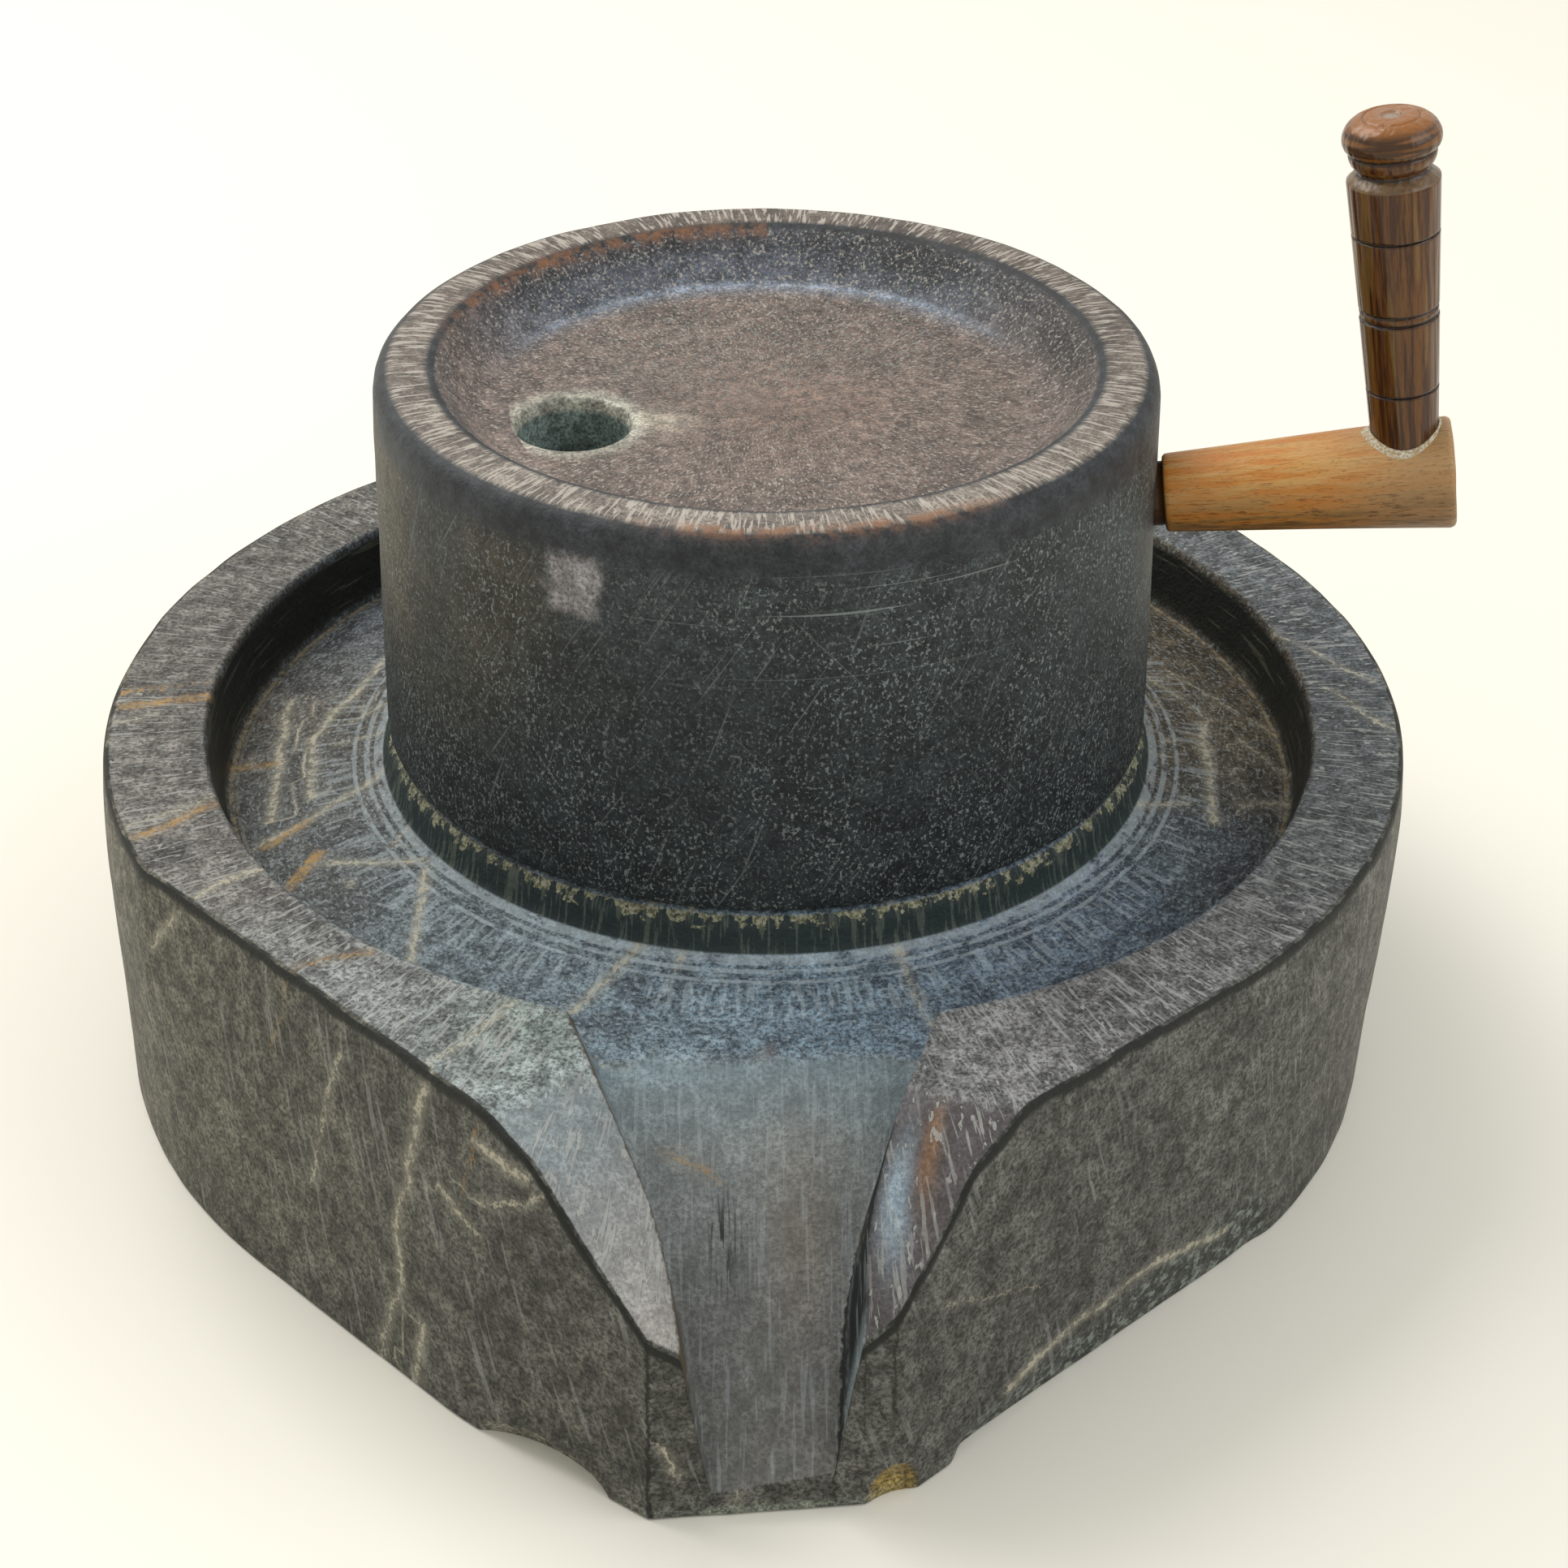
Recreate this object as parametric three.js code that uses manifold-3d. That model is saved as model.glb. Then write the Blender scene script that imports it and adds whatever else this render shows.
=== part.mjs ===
// A hand-turned rotary quern: a carved stone base with a trough and a pouring spout, a dished runner
// stone that turns on it, and a wooden crank handle.
// Millimetres, +Z up. The origin is on the axis that the runner turns about, at the base's underside.
// The spout points to -Y.

import * as THREE from 'three';
import { mergeVertices } from 'three/addons/utils/BufferGeometryUtils.js';
import Module from 'manifold-3d';

const wasm = await Module();
wasm.setup();

const DEG = Math.PI / 180;
const GAP = 0.3; // between pieces that touch

// ---------------------------------------------------------------------------------------------
// Driving dimensions

const rimHeight = 96; // underside to the flat rim of the base
const drumFlare = 1.4; // how far the drum swells under its rim
const swellHeight = 76;
const edgeChamfer = 1.7; // worn top edge
const footChamfer = 0.8; // worn bottom edge

// The base's plan at its foot and at its rim: an arc round the back, a leaning left flank with a
// shoulder, a blunt nose, and a flat right flank. Angles are in degrees from +X.
const footPlan = {
  centre: [-5, 0], radius: 173.5, from: -47, to: 226,
  shoulder: [-70, -181], noseLeft: [-27.5, -210.5], noseRight: [30.5, -205],
};
const rimPlan = {
  centre: [-3, 0], radius: 174, from: -47, to: 208,
  shoulder: [-62, -181], noseLeft: [-27, -208], noseRight: [28.5, -204.5],
};
const ARC_SEGMENTS = 84;

const trough = { centre: [-1.7, 1.2], radius: 149, floorRadius: 145, floorHeight: 76.5, innerHeight: 84.5 };
const bed = { radius: 103.5, faceRadius: 99.5, chamfer: 3.2 }; // raised grinding bed inside the trough
const bedHeight = 95.3;

// The spout's channel, in sections from the trough out through the nose. Each has the floor's height,
// the floor's left and right edges, and how far each wall leans out for each millimetre of height.
const spout = [
  { y: -118, floor: 82.5, left: -45, right: 41, lean: [0.3, 0.25] },
  { y: -140, floor: 76.8, left: -40, right: 36, lean: [0.39, 0.21] },
  { y: -155, floor: 66, left: -33, right: 29.5, lean: [0.31, 0.22] },
  { y: -170, floor: 54, left: -26.5, right: 22, lean: [0.26, 0.22] },
  { y: -186, floor: 37, left: -20, right: 17.5, lean: [0.16, 0.17] },
  { y: -200, floor: 19, left: -15.5, right: 17, lean: [0.14, 0.14] },
  { y: -210, floor: 4, left: -13, right: 15, lean: [0.14, 0.14] },
  { y: -222, floor: -16, left: -12, right: 14, lean: [0.14, 0.14] },
];
const SPOUT_TOP = 120;

// Each wing beside the channel is cut down by a gentle shelf and then by a steep drop, each of them
// the plane through three points: by the channel, on the flank's edge, and further down that edge.
const leftWing = [
  [[-44, -162, rimHeight], [-65, -177, rimHeight], [-52.6, -190, 89]],
  [[-36.6, -174.6, 89], [-52.6, -190, 89], [-26.5, -208, 55]],
];
const rightWing = [
  [[32, -168, rimHeight], [58.5, -178, rimHeight], [45.9, -189.2, 87.5]],
  [[32, -175.5, 87.5], [45.9, -189.2, 87.5], [27.5, -206, 55]],
];
const WING_REACH = 90;

// Chips broken off the base's bottom edge: where each is, its size and how it is turned.
const chips = [
  { at: [-57, -198, -1], size: [24, 12.5, 11], turn: -36 },
  { at: [32, -211, 1], size: [13, 10, 15], turn: 30 },
];
// A long spall along the right flank's foot, flat, deepest by the nose.
const spall = { from: [45, -192, 7], to: [133, -108, 27], depth: [4, 1.5] };

const runnerBottom = bedHeight + GAP;
const runnerTop = 198.4;
const runnerRadius = { top: 100, bottom: 102.2 };
const dish = { rimWidth: 15.5, floorRadius: 73, floorHeight: 185 };
const feedHole = { at: [-49, -13], radius: 14.3, flare: 1.4 };
const RUNNER_SEGMENTS = 88;

const handleAzimuth = -6.9 * DEG;
const armRise = 8.4 * DEG;
const armAxisHeight = 165.3; // where the arm's axis meets its shoulder
const shoulderReach = 102.9; // runner's axis to the arm's shoulder
const arm = { length: 72.9, rootRadius: 10, endRadius: 14.1, endRounding: 1.6 };
const tenon = { length: 34, radius: 8.2 };
const gripReach = 61.2; // shoulder to the grip's axis
const mortise = { radius: 9.25, floor: 6 }; // floor: above the arm's axis

// The grip's turned outline, from its foot up: radius, height above the arm's axis.
const gripFoot = mortise.floor + GAP;
const grooveDepth = 0.7;
const gripTaper = [[8.3, gripFoot], [11.4, 80]];
const grooves = [25.4, 44.8, 47.2, 66.7];
const gripHead = [
  [11.3, 80.3], [9.2, 82.1], [8.8, 82.5], [8.9, 83.4], [9.6, 83.9], [10.4, 85.2], [10.7, 87], [10.3, 87.5],
  [10.9, 87.9], [11.6, 88.6], [12, 90.2], [11.6, 92.2], [10.3, 94.2], [8.2, 95.6], [7.2, 95.7], [6.9, 95.3],
  [6.5, 95.9], [2.6, 96.1], [2.4, 95.7], [0, 95.7],
];

// ---------------------------------------------------------------------------------------------
// Solids

function toSolid(geometry) {
  geometry.deleteAttribute('normal');
  geometry.deleteAttribute('uv');
  const merged = mergeVertices(geometry, 1e-4);
  return new wasm.Manifold(new wasm.Mesh({
    numProp: 3,
    vertProperties: new Float32Array(merged.attributes.position.array),
    triVerts: new Uint32Array(merged.index.array),
  }));
}

function toGeometry(solid) {
  const mesh = solid.getMesh();
  const geometry = new THREE.BufferGeometry();
  geometry.setAttribute('position', new THREE.BufferAttribute(new Float32Array(mesh.vertProperties), 3));
  geometry.setIndex(new THREE.BufferAttribute(new Uint32Array(mesh.triVerts), 1));
  geometry.computeVertexNormals();
  return geometry;
}

// A solid skinned over rings of equally many points, each ring anticlockwise seen from the last one.
function loft(rings) {
  const count = rings[0].length;
  const positions = rings.flat(2);
  const index = [];
  for (let level = 0; level + 1 < rings.length; level += 1) {
    for (let i = 0; i < count; i += 1) {
      const a = level * count + i;
      const b = level * count + (i + 1) % count;
      index.push(a, b, b + count, a, b + count, a + count);
    }
  }
  const last = (rings.length - 1) * count;
  for (let i = 1; i + 1 < count; i += 1) {
    index.push(0, i + 1, i, last, last + i, last + i + 1);
  }
  const geometry = new THREE.BufferGeometry();
  geometry.setAttribute('position', new THREE.Float32BufferAttribute(positions, 3));
  geometry.setIndex(index);
  return geometry;
}

// A profile of [radius, height] points turned about +Z through a centre.
function turned(profile, segments, centre = [0, 0]) {
  const points = profile.map(([radius, height]) => new THREE.Vector2(radius, height));
  const geometry = new THREE.LatheGeometry(points, segments);
  geometry.rotateX(Math.PI / 2);
  geometry.translate(centre[0], centre[1], 0);
  return geometry;
}

function mix(a, b, t) {
  return a + (b - a) * t;
}

// ---------------------------------------------------------------------------------------------
// Base

// The plan's corner points, pulled in by an inset towards the plan's centre.
function planRing(plan, height, inset = 0) {
  const [cx, cy] = plan.centre;
  const points = [];
  for (let i = 0; i <= ARC_SEGMENTS; i += 1) {
    const angle = mix(plan.from, plan.to, i / ARC_SEGMENTS) * DEG;
    points.push([cx + plan.radius * Math.cos(angle), cy + plan.radius * Math.sin(angle)]);
  }
  points.push(plan.shoulder, plan.noseLeft, plan.noseRight);
  return points.map(([x, y]) => {
    const reach = Math.hypot(x - cx, y - cy);
    const scale = (reach - inset) / reach;
    return [cx + (x - cx) * scale, cy + (y - cy) * scale, height];
  });
}

function blendPlans(a, b, t) {
  const point = (key) => [mix(a[key][0], b[key][0], t), mix(a[key][1], b[key][1], t)];
  return {
    centre: point('centre'),
    radius: mix(a.radius, b.radius, t),
    from: mix(a.from, b.from, t),
    to: mix(a.to, b.to, t),
    shoulder: point('shoulder'),
    noseLeft: point('noseLeft'),
    noseRight: point('noseRight'),
  };
}

function makeBlank() {
  const swell = blendPlans(footPlan, rimPlan, swellHeight / rimHeight);
  return toSolid(loft([
    planRing(footPlan, 0, footChamfer),
    planRing(footPlan, footChamfer),
    planRing(swell, swellHeight, -drumFlare),
    planRing(rimPlan, rimHeight - edgeChamfer),
    planRing(rimPlan, rimHeight, edgeChamfer),
  ]));
}

// The trough is hollowed out round, then the bed's stone is put back in the middle.
function hollowTrough(stone) {
  const clear = rimHeight + 30;
  const hollow = toSolid(turned([
    [0, trough.innerHeight],
    [bed.radius, trough.innerHeight],
    [trough.floorRadius, trough.floorHeight],
    [trough.radius, rimHeight - 1],
    [trough.radius + 1, rimHeight],
    [trough.radius + 1, clear],
    [0, clear],
  ], RUNNER_SEGMENTS, trough.centre));
  const core = toSolid(turned([
    [0, trough.floorHeight - 20],
    [bed.radius, trough.floorHeight - 20],
    [bed.radius, trough.innerHeight],
    [bed.radius - 1, bedHeight - bed.chamfer],
    [bed.faceRadius, bedHeight],
    [0, bedHeight],
  ], RUNNER_SEGMENTS));
  return stone.subtract(hollow).add(core);
}

function channelCutter() {
  return toSolid(loft(spout.map(({ y, floor, left, right, lean }) => {
    const rise = SPOUT_TOP - floor;
    return [
      [left, y, floor],
      [right, y, floor],
      [right + lean[1] * rise, y, SPOUT_TOP],
      [left - lean[0] * rise, y, SPOUT_TOP],
    ];
  })));
}

// Everything above the plane through three points, on one side of the channel.
function wingCutter(points, side) {
  const plane = new THREE.Plane().setFromCoplanarPoints(...points.map((p) => new THREE.Vector3(...p)));
  const { normal, constant } = plane;
  const height = (x, y) => -(normal.x * x + normal.y * y + constant) / normal.z;
  const away = side * WING_REACH;
  const corners = [[0, -240], [0, -130], [away, -130], [away, -240]];
  const ring = side < 0 ? corners.reverse() : corners;
  const below = ring.map(([x, y]) => [x, y, height(x, y)]).reverse();
  const above = ring.map(([x, y]) => [x, y, 400]).reverse();
  return toSolid(loft([below, above]));
}

function chipCutter({ at, size, turn }) {
  const geometry = new THREE.IcosahedronGeometry(1, 2);
  geometry.scale(...size);
  geometry.rotateZ(turn * DEG);
  geometry.translate(...at);
  return toSolid(geometry);
}

// A wedge under a line along the flank, reaching in at the foot by the depth given for each end.
function spallCutter({ from, to, depth }) {
  const along = new THREE.Vector2(to[0] - from[0], to[1] - from[1]).normalize();
  const inward = [-along.y, along.x];
  const section = ([x, y, z], reach) => [
    [x + inward[0] * reach, y + inward[1] * reach, -1],
    [x, y, z],
    [x - inward[0] * 12, y - inward[1] * 12, z],
    [x - inward[0] * 12, y - inward[1] * 12, -1],
  ];
  return toSolid(loft([section(from, depth[0]), section(to, depth[1])]));
}

function makeBedstone() {
  const cutters = [
    channelCutter(),
    ...leftWing.map((points) => wingCutter(points, -1)),
    ...rightWing.map((points) => wingCutter(points, 1)),
    spallCutter(spall),
    ...chips.map(chipCutter),
  ];
  let stone = hollowTrough(makeBlank());
  for (const cutter of cutters) stone = stone.subtract(cutter);
  return toGeometry(stone);
}

// ---------------------------------------------------------------------------------------------
// Runner

function makeRunner() {
  const rimInner = runnerRadius.top - dish.rimWidth;
  const body = toSolid(turned([
    [0, runnerBottom],
    [runnerRadius.bottom - 3, runnerBottom],
    [runnerRadius.bottom, runnerBottom + 3],
    [mix(runnerRadius.bottom, runnerRadius.top, 0.9), runnerTop - 9],
    [runnerRadius.top, runnerTop - 3.6],
    [runnerRadius.top - 1.3, runnerTop - 1],
    [runnerRadius.top - 4, runnerTop],
    [rimInner + 1.5, runnerTop],
    [rimInner - 0.5, runnerTop - 1.2],
    [dish.floorRadius + 1, dish.floorHeight + 1.2],
    [dish.floorRadius - 3, dish.floorHeight],
    [0, dish.floorHeight],
  ], RUNNER_SEGMENTS));
  const hole = toSolid(turned([
    [0, runnerBottom - 10],
    [feedHole.radius, runnerBottom - 10],
    [feedHole.radius, dish.floorHeight - 3],
    [feedHole.radius + feedHole.flare, dish.floorHeight],
    [feedHole.radius + feedHole.flare, runnerTop],
    [0, runnerTop],
  ], 36, feedHole.at));
  const socketRadius = tenon.radius + GAP;
  const socket = turned([
    [0, -tenon.length - GAP],
    [socketRadius, -tenon.length - GAP],
    [socketRadius, 20],
    [0, 20],
  ], 32);
  socket.applyMatrix4(armFrame());
  return toGeometry(body.subtract(hole).subtract(toSolid(socket)));
}

// ---------------------------------------------------------------------------------------------
// Handle

// Takes +Z to the arm's axis, with the origin at its shoulder and +X pointing up the grip.
function armFrame() {
  const outward = new THREE.Vector3(
    Math.cos(armRise) * Math.cos(handleAzimuth),
    Math.cos(armRise) * Math.sin(handleAzimuth),
    Math.sin(armRise));
  const across = new THREE.Vector3(-Math.sin(handleAzimuth), Math.cos(handleAzimuth), 0);
  const upward = new THREE.Vector3().crossVectors(outward, across);
  const frame = new THREE.Matrix4().makeBasis(upward, across.negate(), outward);
  frame.setPosition(
    shoulderReach * Math.cos(handleAzimuth), shoulderReach * Math.sin(handleAzimuth), armAxisHeight);
  return frame;
}

function makeArm() {
  const bar = toSolid(turned([
    [0, -tenon.length],
    [tenon.radius - 1, -tenon.length],
    [tenon.radius, -tenon.length + 1],
    [tenon.radius, 0],
    [arm.rootRadius - 0.5, 0],
    [arm.rootRadius, 0.5],
    [arm.endRadius, arm.length - arm.endRounding * 1.5],
    [arm.endRadius - arm.endRounding, arm.length - 0.4],
    [0, arm.length],
  ], 36));
  const bore = turned([[0, 0], [mortise.radius, 0], [mortise.radius, 20], [0, 20]], 32);
  bore.translate(0, 0, mortise.floor);
  bore.rotateY(Math.PI / 2);
  bore.translate(0, 0, gripReach);
  return toGeometry(bar.subtract(toSolid(bore)));
}

function makeGrip() {
  const [[footRadius, foot], [topRadius, top]] = gripTaper;
  const radiusAt = (height) => mix(footRadius, topRadius, (height - foot) / (top - foot));
  const profile = [[0, foot], [footRadius, foot]];
  for (const height of grooves) {
    profile.push([radiusAt(height) + 0.05, height - grooveDepth]);
    profile.push([radiusAt(height) - grooveDepth, height]);
    profile.push([radiusAt(height) + 0.05, height + grooveDepth]);
  }
  profile.push([topRadius, top], ...gripHead);
  const geometry = turned(profile, 36);
  geometry.rotateY(Math.PI / 2);
  geometry.translate(0, 0, gripReach);
  return toGeometry(toSolid(geometry));
}

// ---------------------------------------------------------------------------------------------
// Assembly

const darkMarble = new THREE.MeshStandardMaterial({ color: 0x55565a, roughness: 0.62, metalness: 0 });
const blackGranite = new THREE.MeshStandardMaterial({ color: 0x3a3a3c, roughness: 0.55, metalness: 0 });
const paleWood = new THREE.MeshStandardMaterial({ color: 0xb0702f, roughness: 0.5, metalness: 0 });
const lacqueredWood = new THREE.MeshStandardMaterial({ color: 0x5e3212, roughness: 0.25, metalness: 0 });

function piece(name, geometry, material) {
  const mesh = new THREE.Mesh(geometry, material);
  mesh.name = name;
  return mesh;
}

const base = new THREE.Group();
base.add(piece('bedstone', makeBedstone(), darkMarble));

const handle = new THREE.Group();
handle.applyMatrix4(armFrame());
handle.add(piece('handle_arm', makeArm(), paleWood));
handle.add(piece('handle_grip', makeGrip(), lacqueredWood));

const runner = new THREE.Group();
runner.add(piece('runner_stone', makeRunner(), blackGranite));
runner.add(handle);

const quern = new THREE.Group();
quern.name = 'rotary_quern';
quern.add(base, runner);

export default quern;
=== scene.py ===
import itertools
import math

import bpy
import numpy as np
from mathutils import Matrix, Vector


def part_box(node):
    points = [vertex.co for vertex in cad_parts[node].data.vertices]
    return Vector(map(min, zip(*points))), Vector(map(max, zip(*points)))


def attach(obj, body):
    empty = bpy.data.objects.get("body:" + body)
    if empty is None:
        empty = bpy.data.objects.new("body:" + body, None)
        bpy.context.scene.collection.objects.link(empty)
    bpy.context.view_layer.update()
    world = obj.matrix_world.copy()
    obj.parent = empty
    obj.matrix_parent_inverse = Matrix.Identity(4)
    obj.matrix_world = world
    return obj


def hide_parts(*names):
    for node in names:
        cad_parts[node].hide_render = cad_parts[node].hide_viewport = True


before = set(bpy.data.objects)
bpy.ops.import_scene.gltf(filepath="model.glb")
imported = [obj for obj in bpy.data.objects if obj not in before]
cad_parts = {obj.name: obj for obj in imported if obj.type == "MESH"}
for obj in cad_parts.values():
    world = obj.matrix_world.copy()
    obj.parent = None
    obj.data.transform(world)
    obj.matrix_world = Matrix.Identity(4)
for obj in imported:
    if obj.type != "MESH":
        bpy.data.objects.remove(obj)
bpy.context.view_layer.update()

bl_info = {
    "name": "Rotary Quern",
    "version": (1, 0, 0),
    "blender": (4, 5, 0),
    "location": "View3D > Sidebar > Quern",
    "description": "A hand-turned stone quern: trough base with a spout, dished runner and wooden crank",
    "category": "Add Mesh",
}

# Shapes are worked out in millimetres and put into meshes in metres. +Z is up, the runner turns about
# the Z axis, the base stands on z = 0 and its spout points to -Y. A "turn" is the direction seen from
# above, in radians from -Y, growing towards +X, so that a surface's seam lies at the back.
MM = 0.001


def box_mm(node):
    """Lowest and highest corner of a CAD node in millimetres."""
    low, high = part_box(node)
    return np.array(low) / MM, np.array(high) / MM


BASE_LOW, BASE_HIGH = box_mm("bedstone")
RUNNER_LOW, RUNNER_HIGH = box_mm("runner_stone")
RIM_HEIGHT = BASE_HIGH[2]
RUNNER_BOTTOM = RUNNER_LOW[2]
RUNNER_TOP = RUNNER_HIGH[2]

# ---------------------------------------------------------------------------------------------
# The base's shape

# The plan at the foot and at the rim: an arc round the back, a leaning left flank with a shoulder, a
# blunt nose and a flat right flank. Arc ends are in degrees from +X.
FOOT_PLAN = {
    "centre": (-5, 0), "radius": 173.5, "arc": (-47, 226),
    "corners": [(-70, -181), (-27.5, -210.5), (30.5, -205)],
}
RIM_PLAN = {
    "centre": (-3, 0), "radius": 174, "arc": (-47, 208),
    "corners": [(-62, -181), (-27, -208), (28.5, -204.5)],
}
DRUM_SWELL = 1.4
SWELL_HEIGHT = 76
FOOT_CHAMFER = 0.8
EDGE_WEAR = 1.7

BED_PROFILE = [  # radius, height: from the grinding face over its chipped edge to the trough
    (30, 95.3), (60, 95.3), (85, 95.3), (94, 95.3), (97.5, 95.3), (99.5, 95.2), (100.8, 94.3),
    (101.7, 93.2), (102.4, 91.9), (102.6, 90.4), (102.9, 88.8), (103.2, 87.2), (103.6, 85.8), (104.4, 84.8),
]
TROUGH_CENTRE = (-1.7, 1.2)
TROUGH_FLOOR = {"inner": (103.5, 84.5), "outer": (145, 76.5)}
TROUGH_WALL_RUN = 4
TROUGH_LIP = 151

# Sections of the spout's channel: y, floor height, floor's left and right edges, left and right lean.
SPOUT = np.array([
    (-118, 82.5, -45, 41, 0.30, 0.25),
    (-140, 76.8, -40, 36, 0.39, 0.21),
    (-155, 66, -33, 29.5, 0.31, 0.22),
    (-170, 54, -26.5, 22, 0.26, 0.22),
    (-186, 37, -20, 17.5, 0.16, 0.17),
    (-200, 19, -15.5, 17, 0.14, 0.14),
    (-210, 4, -13, 15, 0.14, 0.14),
    (-222, -16, -12, 14, 0.14, 0.14),
], float)

# The wings beside the channel: each plane through three points cuts one side down.
WINGS = {
    -1: [((-44, -162, 96), (-65, -177, 96), (-52.6, -190, 89)),
         ((-36.6, -174.6, 89), (-52.6, -190, 89), (-26.5, -208, 55))],
    1: [((32, -168, 96), (58.5, -178, 96), (45.9, -189.2, 87.5)),
        ((32, -175.5, 87.5), (45.9, -189.2, 87.5), (27.5, -206, 55))],
}

# Chips off the bottom edge: centre, half sizes and turn in degrees. Then the long spall of the right
# flank, along a line, with its depth at either end.
CHIPS = [
    ((-57, -198, -1), (24, 12.5, 11), -36),
    ((32, -211, 1), (13, 10, 15), 30),
]
SPALL = {"start": (45, -192, 7), "end": (133, -108, 27), "depth": (4, 1.5)}


def hashed(lattice, seed):
    """A number from -1 to 1 for each whole-numbered point: the fraction of a stretched sine."""
    mixed = lattice @ np.array([127.1, 311.7, 74.7]) + seed * 19.19
    return 2 * np.modf(np.abs(np.sin(mixed)) * 43758.5453)[0] - 1


def lumps(points, cell, seed):
    """Smooth noise from -1 to 1: random numbers on a lattice of that cell, blended with eased weights."""
    scaled = points / cell
    whole = np.floor(scaled)
    part = scaled - whole
    ease = part * part * (3 - 2 * part)
    total = np.zeros(points.shape[:-1])
    for corner in itertools.product((0, 1), repeat=3):
        weight = np.prod(np.where(np.array(corner) == 1, ease, 1 - ease), axis=-1)
        total += weight * hashed(whole + corner, seed)
    return total


def smooth_min(a, b, reach):
    """The lower of two, with the corner rounded off over that reach."""
    h = np.clip(0.5 + 0.5 * (b - a) / reach, 0, 1)
    return b * (1 - h) + a * h - reach * h * (1 - h)


def smooth_max(a, b, reach):
    """The higher of two, with the corner filled over that reach."""
    return -smooth_min(-a, -b, reach)


def smooth_step(value, low, high):
    """0 below low, 1 above high and an even S between them."""
    t = np.clip((value - low) / (high - low), 0, 1)
    return t * t * (3 - 2 * t)


def spout_at(y, column):
    """A column of the spout's table at each y: the straight lines between sections, averaged over 8 mm."""
    total = 0
    for shift in (-4, -2, 0, 2, 4):
        total = total + np.interp(-(y + shift), -SPOUT[:, 0], SPOUT[:, column])
    return total / 5


def plane_height(points, x, y):
    """Height of the plane through three points."""
    a, b, c = (np.array(p, float) for p in points)
    n = np.cross(b - a, c - a)
    return a[2] - (n[0] * (x - a[0]) + n[1] * (y - a[1])) / n[2]


def wing_height(x, y):
    """The rim's flat top, cut down beside the channel by each side's planes."""
    height = np.full(np.shape(x), float(RIM_HEIGHT))
    for side, planes in WINGS.items():
        for points in planes:
            cut = np.where((x * side > -2) & (y < -130), plane_height(points, x, y), RIM_HEIGHT + 50)
            height = smooth_min(height, cut, 1.6)
    return height


def channel_height(x, y):
    """The spout's floor with its two leaning walls: a blended foot on the left and a crisp one on the right."""
    floor = spout_at(y, 1)
    left = floor + (spout_at(y, 2) - x) / spout_at(y, 4)
    right = floor + (x - spout_at(y, 3)) / spout_at(y, 5)
    height = smooth_max(smooth_max(floor, left, 7), right, 2.5)
    return np.where(y < -114, height, RIM_HEIGHT + 50)


def trough_height(x, y):
    """The trough's floor, falling outwards, and its steep outer wall."""
    reach = np.hypot(x - TROUGH_CENTRE[0], y - TROUGH_CENTRE[1])
    (inner, high), (outer, low) = TROUGH_FLOOR["inner"], TROUGH_FLOOR["outer"]
    floor = high + (low - high) * (reach - inner) / (outer - inner)
    wall = low + (RIM_HEIGHT - low) * (reach - outer) / TROUGH_WALL_RUN
    return smooth_max(floor, wall, 4)


def top_height(x, y):
    """The carved top outside the bed: the lowest of the rim with its wings, the trough and the channel."""
    cut = smooth_min(trough_height(x, y), channel_height(x, y), 2.5)
    return smooth_min(wing_height(x, y), cut, 3.2)


def plan_reach(plan, turn):
    """Distance from the axis to a plan's edge: its arc and straight flanks walked in small steps."""
    cx, cy = plan["centre"]
    start, end = (math.radians(a) for a in plan["arc"])
    angle = np.linspace(start, end, 720)
    arc = np.stack([cx + plan["radius"] * np.cos(angle), cy + plan["radius"] * np.sin(angle)], 1)
    stops = [arc[-1], *plan["corners"], arc[0]]
    step = np.linspace(0, 1, 200)[:, None]
    flanks = [np.array(a) * (1 - step) + np.array(b) * step for a, b in zip(stops, stops[1:])]
    outline = np.concatenate([arc, *flanks])
    turns = np.arctan2(outline[:, 0], -outline[:, 1])
    order = np.argsort(turns)
    reach = np.hypot(outline[:, 0], outline[:, 1])

    def at(angles):
        return np.interp(angles, turns[order], reach[order], period=2 * math.pi)

    shoulder = math.atan2(plan["corners"][0][0], -plan["corners"][0][1])
    soft = np.exp(-(((turn - shoulder) / math.radians(7)) ** 2))
    spread = sum(at(turn + math.radians(d)) for d in (-4, -2.7, -1.3, 0, 1.3, 2.7, 4)) / 7
    return at(turn) * (1 - soft) + spread * soft


# How many columns of the base's mesh lie between each pair of its guide lines: the seam, the
# shoulder, the nose's left corner, the channel's left lip and foot, its right foot and lip, the nose's
# right corner, the end of the right flank and the seam again.
COLUMN_SHARES = [214, 62, 12, 26, 60, 22, 12, 104, 228]
CHANNEL_LINES = [("lip", -1), ("foot", -1), ("foot", 1), ("lip", 1)]


def corner_turns(plan):
    """Turns of a plan's shoulder and nose corners and of the end of its right flank."""
    start = math.radians(plan["arc"][0])
    cx, cy = plan["centre"]
    points = [*plan["corners"], (cx + plan["radius"] * math.cos(start), cy + plan["radius"] * math.sin(start))]
    return [math.atan2(x, -y) for x, y in points]


def channel_turn(kind, side, reach_at):
    """Turn at which a channel line crosses a ring, found by stepping along the line to the ring's reach."""
    turn = side * 0.2
    for _ in range(40):
        reach = reach_at(turn)
        y = -reach * math.cos(turn)
        x = float(spout_at(y, 2 if side < 0 else 3))
        if kind == "lip":
            lean = float(spout_at(y, 4 if side < 0 else 5))
            for _ in range(6):
                rise = float(wing_height(np.array(x), np.array(y))) - float(spout_at(y, 1))
                x = float(spout_at(y, 2 if side < 0 else 3)) + side * lean * rise
        turn = 0.5 * turn + 0.5 * math.atan2(x, -y)
    return turn


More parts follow.
